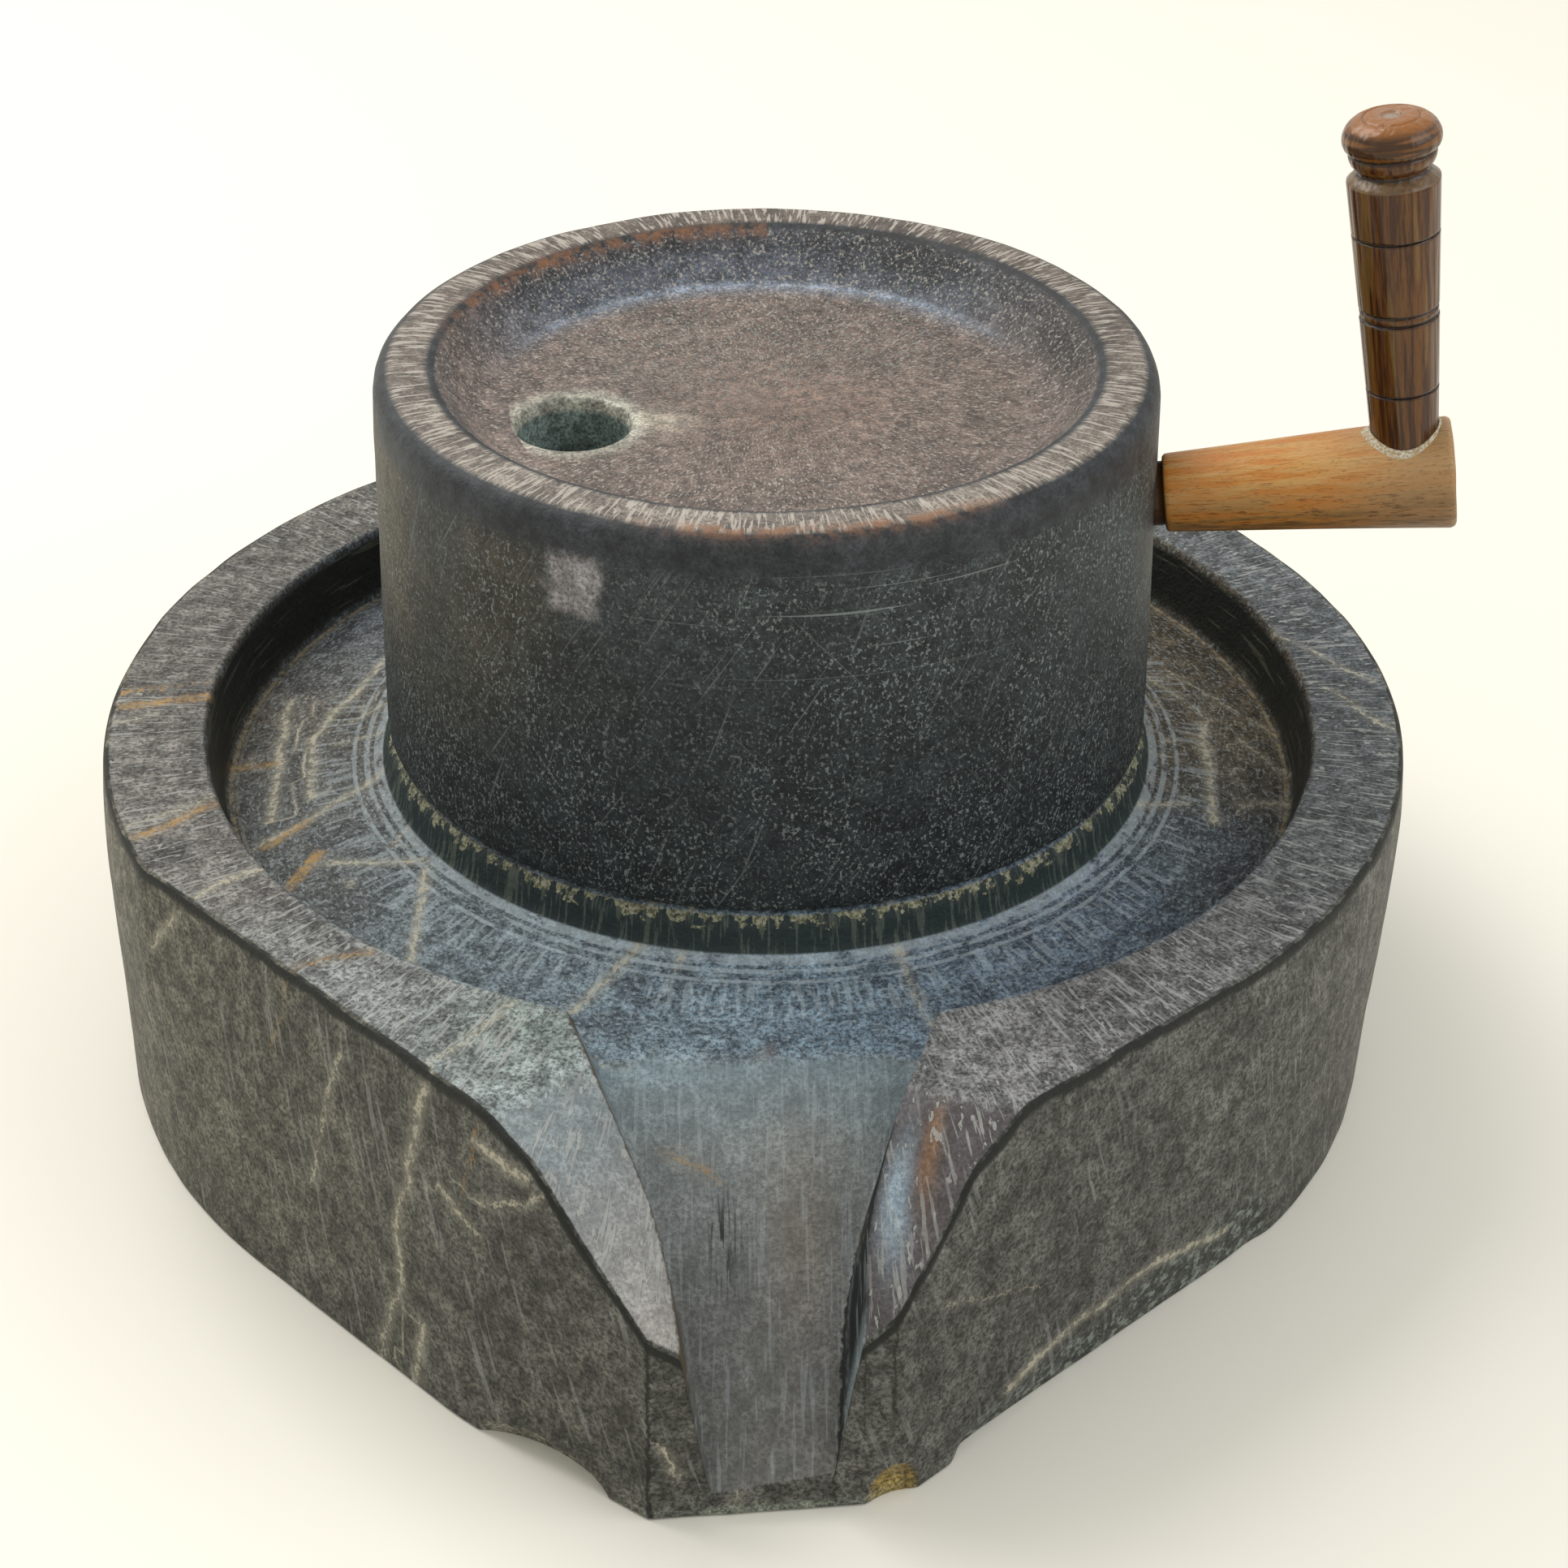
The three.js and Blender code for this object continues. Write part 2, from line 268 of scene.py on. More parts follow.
def spread_columns(guides):
    """Turns of all columns: evenly spaced between the guide lines. Guides may be one row or one per column."""
    counts = np.concatenate([[0], np.cumsum(COLUMN_SHARES)])
    column = np.arange(counts[-1])
    left = np.searchsorted(counts, column, side="right") - 1
    share = (column - counts[left]) / np.array(COLUMN_SHARES)[left]
    guides = np.asarray(guides)
    if guides.ndim == 1:
        return guides[left] * (1 - share) + guides[left + 1] * share
    return guides[left, column] * (1 - share) + guides[left + 1, column] * share


def base_rows():
    """Rows of points from the bed's middle over the trough and rim, down the flanks and in under the foot.

    A ring in the bed and the trough is a circle. Outside the trough a ring is a blend of the trough's
    circle and the outline, and its columns follow the channel's lips and feet. A flank row blends the
    rim's outline into the foot's, and swells a little under the rim.
    """
    foot_corners, rim_corners = corner_turns(FOOT_PLAN), corner_turns(RIM_PLAN)
    cx, cy = TROUGH_CENTRE

    def circle_reach(turn, radius):
        along = cx * np.sin(turn) - cy * np.cos(turn)
        return along + np.sqrt(along * along + radius * radius - cx * cx - cy * cy)

    def guides_at(weight):
        def reach(turn):
            outer = float(plan_reach(RIM_PLAN, np.array([turn]))[0])
            return float(circle_reach(turn, TROUGH_LIP)) * (1 - weight) + outer * weight
        lip_left, foot_left, foot_right, lip_right = (channel_turn(k, s, reach) for k, s in CHANNEL_LINES)
        nose_left = lip_left - ((1 - weight) * 0.07 + weight * (edge_lips[0] - rim_corners[1]))
        nose_right = lip_right + ((1 - weight) * 0.07 + weight * (rim_corners[2] - edge_lips[1]))
        shoulder = rim_corners[0] * weight - 0.55 * (1 - weight)
        return [-math.pi, shoulder, nose_left, lip_left, foot_left, foot_right, lip_right, nose_right,
                rim_corners[3], math.pi]

    def rim_reach(turn):
        return float(plan_reach(RIM_PLAN, np.array([turn]))[0])

    edge_lips = [channel_turn("lip", -1, rim_reach), channel_turn("lip", 1, rim_reach)]
    inner_guides, edge_guides = guides_at(0), guides_at(1)
    columns = spread_columns(edge_guides)

    def flank(height):
        """Points of the flank at each column's height."""
        share = np.clip(height / RIM_HEIGHT, 0, 1)
        guide_rows = [np.full(len(columns), g) for g in edge_guides]
        for index, corner in ((1, 0), (2, 1), (7, 2), (8, 3)):
            guide_rows[index] = foot_corners[corner] * (1 - share) + rim_corners[corner] * share
        turn = spread_columns(np.array(guide_rows))
        reach = plan_reach(FOOT_PLAN, turn) * (1 - share) + plan_reach(RIM_PLAN, turn) * share
        over = np.clip((height - SWELL_HEIGHT) / (RIM_HEIGHT - SWELL_HEIGHT), 0, 1)
        reach = reach + DRUM_SWELL * (smooth_step(height, 0, SWELL_HEIGHT) - over * over)
        return turn, reach

    edge_height = np.full(len(columns), float(RIM_HEIGHT))
    for _ in range(8):
        edge_turn, edge_reach = flank(edge_height)
        x, y = edge_reach * np.sin(edge_turn), -edge_reach * np.cos(edge_turn)
        edge_height = 0.5 * edge_height + 0.5 * top_height(x, y)

    rows, parts = [], []

    def add(turn, reach, height, part):
        height = np.broadcast_to(height, turn.shape)
        rows.append(np.stack([reach * np.sin(turn), -reach * np.cos(turn), height], 1))
        parts.append(part)

    inner = spread_columns(inner_guides)
    for radius, height in BED_PROFILE:
        add(inner, np.full(len(inner), float(radius)), height, "bed")
    for share in np.linspace(0, 1, 17)[1:-1]:
        blend = 104.4 + (144.2 - 104.4) * share
        reach = blend * (1 - share) + circle_reach(inner, blend) * share
        add(inner, reach, top_height(reach * np.sin(inner), -reach * np.cos(inner)), "trough")
    for radius in (144, 144.8, 145.5, 146.1, 146.7, 147.3, 147.9, 148.4, 148.9, 149.4, 150.1, TROUGH_LIP):
        reach = circle_reach(inner, radius)
        add(inner, reach, top_height(reach * np.sin(inner), -reach * np.cos(inner)), "wall")

    top_inset = EDGE_WEAR * np.clip(edge_height / 20, 0.5, 1)
    for weight in np.linspace(0, 1, 27)[1:]:
        turn = spread_columns(guides_at(weight))
        outline = np.interp(turn, edge_turn, edge_reach - top_inset, period=2 * math.pi)
        reach = circle_reach(turn, TROUGH_LIP) * (1 - weight) + outline * weight
        height = top_height(reach * np.sin(turn), -reach * np.cos(turn))
        add(turn, reach, height, "rim")
    top_row = rows[-1]
    side_turn, side_reach = flank(edge_height - top_inset)
    side_row = np.stack([side_reach * np.sin(side_turn), -side_reach * np.cos(side_turn), edge_height - top_inset], 1)
    corner = np.stack([edge_reach * np.sin(edge_turn), -edge_reach * np.cos(edge_turn), edge_height], 1)
    for t in (0.2, 0.4, 0.6, 0.8):
        rows.append(top_row * (1 - t) ** 2 + corner * 2 * t * (1 - t) + side_row * t * t)
        parts.append("edge")
    for t in np.linspace(0, 1, 42) ** 1.05:
        height = (edge_height - top_inset) * (1 - t) + FOOT_CHAMFER * t
        turn, reach = flank(height)
        add(turn, reach, height, "flank")
    turn, reach = flank(np.zeros(len(columns)))
    for inset, height in ((FOOT_CHAMFER * 0.5, 0.15), (FOOT_CHAMFER * 1.3, 0)):
        add(turn, reach - inset, height, "foot")
    for scale in (0.93, 0.7, 0.4):
        add(turn, reach * scale, 0, "under")
    return np.array(rows), parts, corner


def break_edges(rows, parts):
    """Moves flank points inwards where a chip's ellipsoid or the spall's wedge has taken the stone.

    Also gives how far each chip and the spall moved every point.
    """
    broken = []
    inward = -rows[..., :2] / np.linalg.norm(rows[..., :2], axis=-1, keepdims=True)
    moved = rows.copy()
    outer = np.array([part in ("edge", "flank", "foot") for part in parts])
    for at, size, turn in CHIPS:
        c, s = math.cos(math.radians(turn)), math.sin(math.radians(turn))
        shift = moved - np.array(at)
        local = np.stack([shift[..., 0] * c + shift[..., 1] * s, -shift[..., 0] * s + shift[..., 1] * c], -1)
        way = np.stack([inward[..., 0] * c + inward[..., 1] * s, -inward[..., 0] * s + inward[..., 1] * c], -1)
        local, way = local / np.array(size[:2]), way / np.array(size[:2])
        height = shift[..., 2] / size[2]
        a = (way ** 2).sum(-1)
        b = (local * way).sum(-1)
        cc = (local ** 2).sum(-1) + height ** 2 - 1
        inside = (cc < 0) & outer[:, None]
        root = np.sqrt(np.maximum(b * b - a * cc, 0))
        depth = np.where(inside, (-b + root) / a, 0)
        moved[..., :2] += inward * depth[..., None]
        broken.append(depth)
    start, end = np.array(SPALL["start"], float), np.array(SPALL["end"], float)
    along = end[:2] - start[:2]
    share = ((moved[..., :2] - start[:2]) @ along) / (along @ along)
    line = start[2] + (end[2] - start[2]) * share
    depth = SPALL["depth"][0] + (SPALL["depth"][1] - SPALL["depth"][0]) * share
    ends = smooth_step(share, -0.02, 0.03) * (1 - smooth_step(share, 0.9, 1.0))
    reach = depth * np.clip(1 - moved[..., 2] / np.maximum(line, 1), 0, 1) ** 0.8 * ends
    front = (moved[..., 0] > 0) & outer[:, None]
    moved[..., :2] += inward * np.where(front, reach, 0)[..., None]
    broken.append(np.where(front, reach, 0))
    return moved, broken


def grid_normals(rows):
    """Outward unit normals of a grid whose columns wrap: along the rows crossed with round the columns."""
    down = np.gradient(rows, axis=0)
    wrapped = np.concatenate([rows[:, -1:], rows, rows[:, :1]], axis=1)
    around = (wrapped[:, 2:] - wrapped[:, :-2]) / 2
    normal = np.cross(down, around)
    return normal / np.maximum(np.linalg.norm(normal, axis=-1, keepdims=True), 1e-9)


def grid_object(name, rows, poles=(None, None), wrap_rows=False, fields=None, mapping=None):
    """A closed smooth mesh over a grid of points whose columns wrap.

    Rows run so that down the rows crossed with round the columns points outwards. Each pole closes an
    end with a fan. Fields are numbers or vectors kept for each point, and mapping is the UV map, given
    for each row and for one column more than the grid has, so that it doesn't fold at the seam.
    """
    count, width = rows.shape[:2]
    points = rows.reshape(-1, 3)
    extra = [np.array(pole, float) for pole in poles if pole is not None]
    if extra:
        points = np.concatenate([points, np.array(extra)])
    last = count if wrap_rows else count - 1
    i, j = np.meshgrid(np.arange(last), np.arange(width), indexing="ij")
    down, right = (i + 1) % count, (j + 1) % width
    quads = np.stack([i * width + j, down * width + j, down * width + right, i * width + right], -1)
    corners = [quads.reshape(-1)]
    starts = [np.arange(quads.size // 4) * 4]
    corner_rows = [np.stack([i, i + 1, i + 1, i], -1).reshape(-1)]
    corner_columns = [np.stack([j, j, j + 1, j + 1], -1).reshape(-1)]
    column = np.arange(width)
    following = (column + 1) % width
    index = count * width
    for end, pole in enumerate(poles):
        if pole is None:
            continue
        ring = 0 if end == 0 else (count - 1) * width
        row = 0 if end == 0 else count - 1
        pair = (column, following) if end == 0 else (following, column)
        fan = np.stack([np.full(width, index), ring + pair[0], ring + pair[1]], -1)
        offset = starts[-1][-1] + (4 if len(starts) == 1 else 3)
        starts.append(offset + np.arange(width) * 3)
        corners.append(fan.reshape(-1))
        corner_rows.append(np.full(width * 3, row))
        near = (column, column + 1) if end == 0 else (column + 1, column)
        corner_columns.append(np.stack([column, near[0], near[1]], -1).reshape(-1))
        index += 1
    corners, starts = np.concatenate(corners), np.concatenate(starts)
    mesh = bpy.data.meshes.new(name)
    mesh.vertices.add(len(points))
    mesh.vertices.foreach_set("co", (points * MM).astype(np.float32).ravel())
    mesh.loops.add(len(corners))
    mesh.loops.foreach_set("vertex_index", corners.astype(np.int32))
    mesh.polygons.add(len(starts))
    mesh.polygons.foreach_set("loop_start", starts.astype(np.int32))
    mesh.update(calc_edges=True)
    mesh.validate()
    mesh.shade_smooth()
    for field, values in (fields or {}).items():
        values = np.asarray(values, float)
        kind = "FLOAT_VECTOR" if values.ndim == 3 else "FLOAT"
        attribute = mesh.attributes.new(field, kind, "POINT")
        flat = values.reshape(count * width, -1)
        flat = np.concatenate([flat] + [flat[:1] if k == 0 else flat[-1:] for k in range(len(extra))])
        attribute.data.foreach_set("vector" if kind == "FLOAT_VECTOR" else "value", flat.astype(np.float32).ravel())
    if mapping is not None:
        layer = mesh.uv_layers.new(name="surface")
        uv = mapping[np.minimum(np.concatenate(corner_rows), mapping.shape[0] - 1), np.concatenate(corner_columns)]
        layer.data.foreach_set("uv", uv.astype(np.float32).ravel())
    made = bpy.data.objects.new(name, mesh)
    bpy.context.scene.collection.objects.link(made)
    return made


def walked(rows):
    """How far each point lies along its column from the first row, in millimetres."""
    steps = np.linalg.norm(np.diff(rows, axis=0), axis=-1)
    return np.concatenate([np.zeros((1, rows.shape[1])), np.cumsum(steps, axis=0)])


def surface_map(rows, radius):
    """UV map in metres: round the axis at a given radius, and down the column."""
    down = walked(rows)
    turn = np.arctan2(rows[..., 0], -rows[..., 1])
    turn = np.unwrap(turn, axis=1)
    around = np.concatenate([turn, turn[:, :1] + 2 * math.pi], axis=1) * radius
    down = np.concatenate([down, down[:, :1]], axis=1)
    return np.stack([around, down], -1) * MM


# ---------------------------------------------------------------------------------------------
# Veins and scratches: each is a sheet through the stone that shows where it cuts the surface. An
# entry is start, end, half width in millimetres. A sheet on the top stands upright, and one on a flank
# runs in towards the axis.

CREAM_VEINS = [
    ((-163, -64, 96), (-143, -49, 96), 0.7), ((-142, -95, 96), (-127, -82, 96), 1.1),
    ((-78, -162, 96), (-59, -138, 96), 0.7), ((-179, -14, 96), (-165, -9, 96), 0.8),
    ((-131, -44, 80), (-101, -18, 80), 1.3), ((-118, -56, 80), (-88, -62, 80), 1.0),
    ((-142, -5, 80), (-112, 42, 80), 0.8), ((-123, 3, 80), (-104, 18, 80), 0.8),
    ((-136, -8, 80), (-104, 1, 80), 0.7), ((-131, -34, 80), (-134, 26, 80), 1.2),
    ((-121, -30, 80), (-124, 4, 80), 1.1), ((-124, 4, 80), (-106, 49, 80), 1.4),
    ((-136, -49, 80), (-120, -34, 80), 0.6), ((-107, -68, 80), (-94, -47, 80), 0.6),
    ((-88, -66, 80), (-88, -103, 80), 1.3), ((-20, -86, 80), (-48, -120, 80), 1.0),
    ((31, -96, 80), (33, -104, 80), 0.9), ((33, -104, 80), (40, -126, 80), 0.7),
    ((109, 34, 80), (145, -13, 80), 0.7), ((115, 40, 80), (142, 12, 80), 0.6),
    ((97, -35, 80), (143, -22, 80), 0.8), ((104, -3, 80), (125, 5, 80), 0.5),
    ((121, 12, 80), (119, -36, 80), 1.3), ((103, 14, 80), (113, 23, 80), 0.5),
    ((105, -9, 80), (130, -9, 80), 0.5), ((119, -8, 80), (131, -20, 80), 0.5),
    ((142, 38, 96), (166, 9, 96), 0.7), ((153, 5, 96), (169, -18, 96), 0.7),
    ((-20, -101, 96), (-21, -104, 84), 0.9),
]
FLANK_VEINS = [
    ((-67, -180, 86), (-55, -189, 84), 1.5), ((-50, -192, 82), (-73, -177, 66), 0.7),
    ((-78, -173, 68), (-67, -181, 62), 0.8), ((-80, -172, 96), (-86, -166, 66), 1.1),
    ((-86, -166, 66), (-90, -163, 46), 0.9), ((-90, -163, 46), (-90, -163, 30), 1.3),
    ((-90, -163, 30), (-96, -158, 0), 0.8), ((-84, -168, 78), (-86, -166, 58), 1.0),
    ((-103, -146, 84), (-112, -136, 40), 0.7), ((-155, -86, 74), (-147, -95, 90), 0.9),
    ((-25, -210, 22), (-22, -212, 14), 0.8), ((-8, -210, 22), (-7, -210, 0), 0.5),
    ((59, -180, 13), (75, -165, 19), 1.1), ((75, -165, 19), (97, -145, 20), 0.9),
    ((97, -145, 20), (118, -126, 13), 1.6), ((86, -155, 20), (111, -133, 11), 0.9),
    ((41, -196, 52), (64, -175, 40), 0.4), ((-84, -168, 20), (-86, -166, 2), 1.0),
]
OCHRE_VEINS = [
    ((-179, 2, 96), (-151, 7, 96), 1.7), ((-177, -5, 96), (-150, 2, 96), 2.2),
    ((-164, -71, 96), (-142, -54, 96), 1.3), ((-149, -6, 80), (-134, -6, 80), 0.9),
    ((-125, -66, 80), (-117, -53, 80), 2.2), ((-131, -45, 80), (-122, -37, 80), 1.2),
    ((-115, -125, 96), (-95, -118, 96), 0.7), ((-24, -156, 70), (-13, -161, 70), 0.6),
    ((20, -183, 60), (23, -178, 65), 0.4),
]
RUST_VEINS = [
    ((-115, -128, 95), (-119, -124, 72), 0.4), ((-66, -181, 90), (-72, -177, 66), 0.35),
]
NOSE_LINES = [
    ((-27, -208.5, 62), (-27.5, -210.5, 0), 0.7), ((28.5, -204.5, 60), (29, -204.7, 30), 0.5),
    ((15.5, -209, 20), (16, -209, 4), 0.5), ((22, -206, 56), (22.5, -207, 22), 0.35),
]


def sheet_field(points, veins, flank, seed, wave=1.0):
    """Signed distance to the sheet that matters most at each point, and that sheet's half width there.

    The distance is measured square to the sheet, and waves a little along it. The width fades to
    nothing past the sheet's ends and far from its line, so a sheet shows only where it is drawn.
    """
    offset = np.full(points.shape[:-1], 20.0)
    width = np.zeros(points.shape[:-1])
    bend = (lumps(points, 9, seed) * 1.3 + lumps(points, 3.5, seed + 1) * 0.5) * wave
    for start, end, half in veins:
        a, b = np.array(start, float), np.array(end, float)
        length = np.linalg.norm(b - a)
        along = (b - a) / length
        deep = np.array([-a[0], -a[1], 0.0]) if flank else np.array([0, 0, 1.0])
        normal = np.cross(along, deep)
        normal /= np.linalg.norm(normal)
        shift = points - a
        square = shift @ normal + bend
        share = shift @ along
        beyond = np.maximum(np.maximum(-share, share - length), 0)
        apart = np.linalg.norm(shift - share[..., None] * along - (shift @ normal)[..., None] * normal, axis=-1)
        here = half * (1 - smooth_step(beyond, 0, 4)) * (1 - smooth_step(apart, 14, 20))
        here = here * (1 - smooth_step(np.abs(square), 5, 9))
        wins = here > width
        offset = np.where(wins, square, offset)
        width = np.where(wins, here, width)
    return offset, width


# ---------------------------------------------------------------------------------------------
# The runner's shape

DISH_FLOOR = 185
RUNNER_OUTLINE = [  # radius, height: dish wall, rim, side and bottom edge
    (66, 185), (70, 185.25), (72.2, 185.7), (74, 186.6), (76, 188.3), (78, 190.3), (80.2, 192.8), (82.2, 195.2),
    (83.6, 196.8), (84.6, 197.7), (85.8, 198.2), (87.4, 198.4), (90, 198.4), (93, 198.4), (95.4, 198.3),
    (97, 197.8), (98.3, 196.9), (99.2, 195.7), (99.8, 194.2), (100.1, 192.4), (100.2, 190),
]
RUNNER_SIDE = (100.3, 102.1)
FEED_HOLE = {"at": (-49, -13), "radius": 14.3, "flare": 1.4}


def runner_rows():
    """Rows of a closed ring of surface: up the feed hole, over the dish, down the side and back below.

    Each row is a circle. Between the hole and the dish, and again underneath, its centre and radius
    slide evenly from the hole's to the runner's.
    """
    turn = np.linspace(-math.pi, math.pi, 640, endpoint=False)
    hole = np.array(FEED_HOLE["at"], float)
    radius, flare = FEED_HOLE["radius"], FEED_HOLE["flare"]
    circles = []
    for height in np.linspace(RUNNER_BOTTOM + 1, DISH_FLOOR - 4, 22):
        circles.append((hole, radius, height, "hole"))
    for share in (0.25, 0.5, 0.75, 1):
        swing = share * math.pi / 2
        circles.append((hole, radius + flare * (1 - math.cos(swing)),
                        DISH_FLOOR - 4 + 4 * math.sin(swing), "lip"))
    dish_radius = RUNNER_OUTLINE[0][0]
    for share in np.linspace(0, 1, 48)[1:-1]:
        circles.append((hole * (1 - share), (radius + flare) * (1 - share) + dish_radius * share,
                        DISH_FLOOR, "floor"))
    for reach, height in RUNNER_OUTLINE:
        part = "wall" if reach < 84 else "rim" if height > 198.2 else "edge"
        circles.append((hole * 0, reach, height, part))
    for share in np.linspace(0, 1, 34)[1:]:
        reach = RUNNER_SIDE[0] * (1 - share) + RUNNER_SIDE[1] * share
        circles.append((hole * 0, reach, 188 * (1 - share) + (RUNNER_BOTTOM + 2.6) * share, "side"))
    for reach, height in ((101.6, 1.2), (100.7, 0.4), (99.2, 0)):
        circles.append((hole * 0, reach, RUNNER_BOTTOM + height, "foot"))
    for share in np.linspace(0, 1, 9)[1:]:
        circles.append((hole * share, 99.2 * (1 - share) + (radius + 0.8) * share, RUNNER_BOTTOM, "under"))
    rows = np.array([
        np.stack([centre[0] + reach * np.sin(turn), centre[1] - reach * np.cos(turn),
                  np.full(len(turn), float(height))], 1)
        for centre, reach, height, _ in circles])
    return rows, [part for *_, part in circles]


# ---------------------------------------------------------------------------------------------
# The handle's shape

HANDLE_TURN = math.radians(-6.9)  # from +X
ARM_RISE = math.radians(8.4)
ARM_AXIS_HEIGHT = 165.3
SHOULDER_REACH = 102.9
ARM = {"length": 72.9, "root": 10, "end": 14.1, "tenon": 34, "tenon_radius": 8.2}
GRIP_REACH = 61.2
MORTISE = {"radius": 8.6, "floor": 6}
GRIP_OUTLINE = [  # radius, height above the arm's axis
    (7.6, 6.3), (8.3, 6.8), (8.35, 8), (9.05, 24.3), (9.1, 25.0), (8.35, 25.4), (9.1, 25.8), (9.15, 26.6),
    (9.86, 43.6), (9.88, 44.4), (9.1, 44.8), (9.75, 45.4), (9.8, 46.5), (9.1, 47.2), (9.98, 47.7),
    (10.02, 48.6), (10.78, 65.6), (10.8, 66.3), (10.05, 66.7), (10.82, 67.1), (10.86, 68), (11.38, 79.3),
    (11.4, 79.9), (11.3, 80.3), (9.2, 82.1), (8.8, 82.5), (8.75, 83), (8.9, 83.4), (9.6, 83.9), (10.1, 84.5),
    (10.4, 85.2), (10.65, 86), (10.7, 86.7), (10.6, 87.1), (10.25, 87.45), (10.9, 87.9), (11.6, 88.7),
    (11.9, 89.5), (12, 90.4), (11.9, 91.4), (11.6, 92.3), (11, 93.4), (10.3, 94.2), (9.3, 95), (8.2, 95.55),
    (7.4, 95.7), (7, 95.6), (6.8, 95.25), (6.55, 95.7), (6.2, 95.9), (4.5, 96.05), (2.8, 96.1), (2.5, 95.9),
    (2.3, 95.6), (1.2, 95.6),
]


def arm_matrix():
    """Takes +Z to the arm's axis, with the origin at its shoulder and +X pointing up the grip."""
    c, s = math.cos(HANDLE_TURN), math.sin(HANDLE_TURN)
    outward = Vector((math.cos(ARM_RISE) * c, math.cos(ARM_RISE) * s, math.sin(ARM_RISE)))
    across = Vector((-s, c, 0))
    upward = outward.cross(across)
    spot = Vector((SHOULDER_REACH * c, SHOULDER_REACH * s, ARM_AXIS_HEIGHT))
    matrix = Matrix.Identity(4)
    for index, axis in enumerate((upward, -across, outward, spot)):
        for row in range(3):
            matrix[row][index] = axis[row]
    return matrix


def placed(points, matrix):
    """Points carried by a matrix."""
    m = np.array(matrix)
    return points @ m[:3, :3].T + m[:3, 3]


def turned_rows(outline, width):
    """Circles about +Z from an outline of radius and height, from the top down so that faces look out."""
    turn = np.linspace(-math.pi, math.pi, width, endpoint=False)
    outline = np.asarray(outline, float)[::-1]
    ring = np.stack([np.sin(turn), -np.cos(turn)], 1)
    rows = outline[:, None, :1] * ring[None]
    heights = np.broadcast_to(outline[:, 1][:, None, None], rows.shape[:2] + (1,))
    return np.concatenate([rows, heights], -1)


def refined(outline, step):
    """The outline with points added so that no stretch is longer than the step."""
    outline = np.asarray(outline, float)
    pieces = [outline[:1]]
    for a, b in zip(outline, outline[1:]):
        count = max(1, int(math.ceil(np.linalg.norm(b - a) / step)))
        share = np.linspace(0, 1, count + 1)[1:, None]
        pieces.append(a * (1 - share) + b * share)
    return np.concatenate(pieces)


def carve(piece, cutter):
    """Takes the cutter's solid out of the piece for good, and removes the cutter."""
    step = piece.modifiers.new("cut", "BOOLEAN")
    step.operation = "DIFFERENCE"
    step.solver = "EXACT"
    step.object = cutter
    shown = piece.evaluated_get(bpy.context.evaluated_depsgraph_get())
    mesh = bpy.data.meshes.new_from_object(shown)
    old = piece.data
    piece.modifiers.clear()
    piece.data = mesh
    mesh.name = piece.name
    bpy.data.meshes.remove(old)
    bpy.data.objects.remove(cutter)


# ---------------------------------------------------------------------------------------------
# Materials

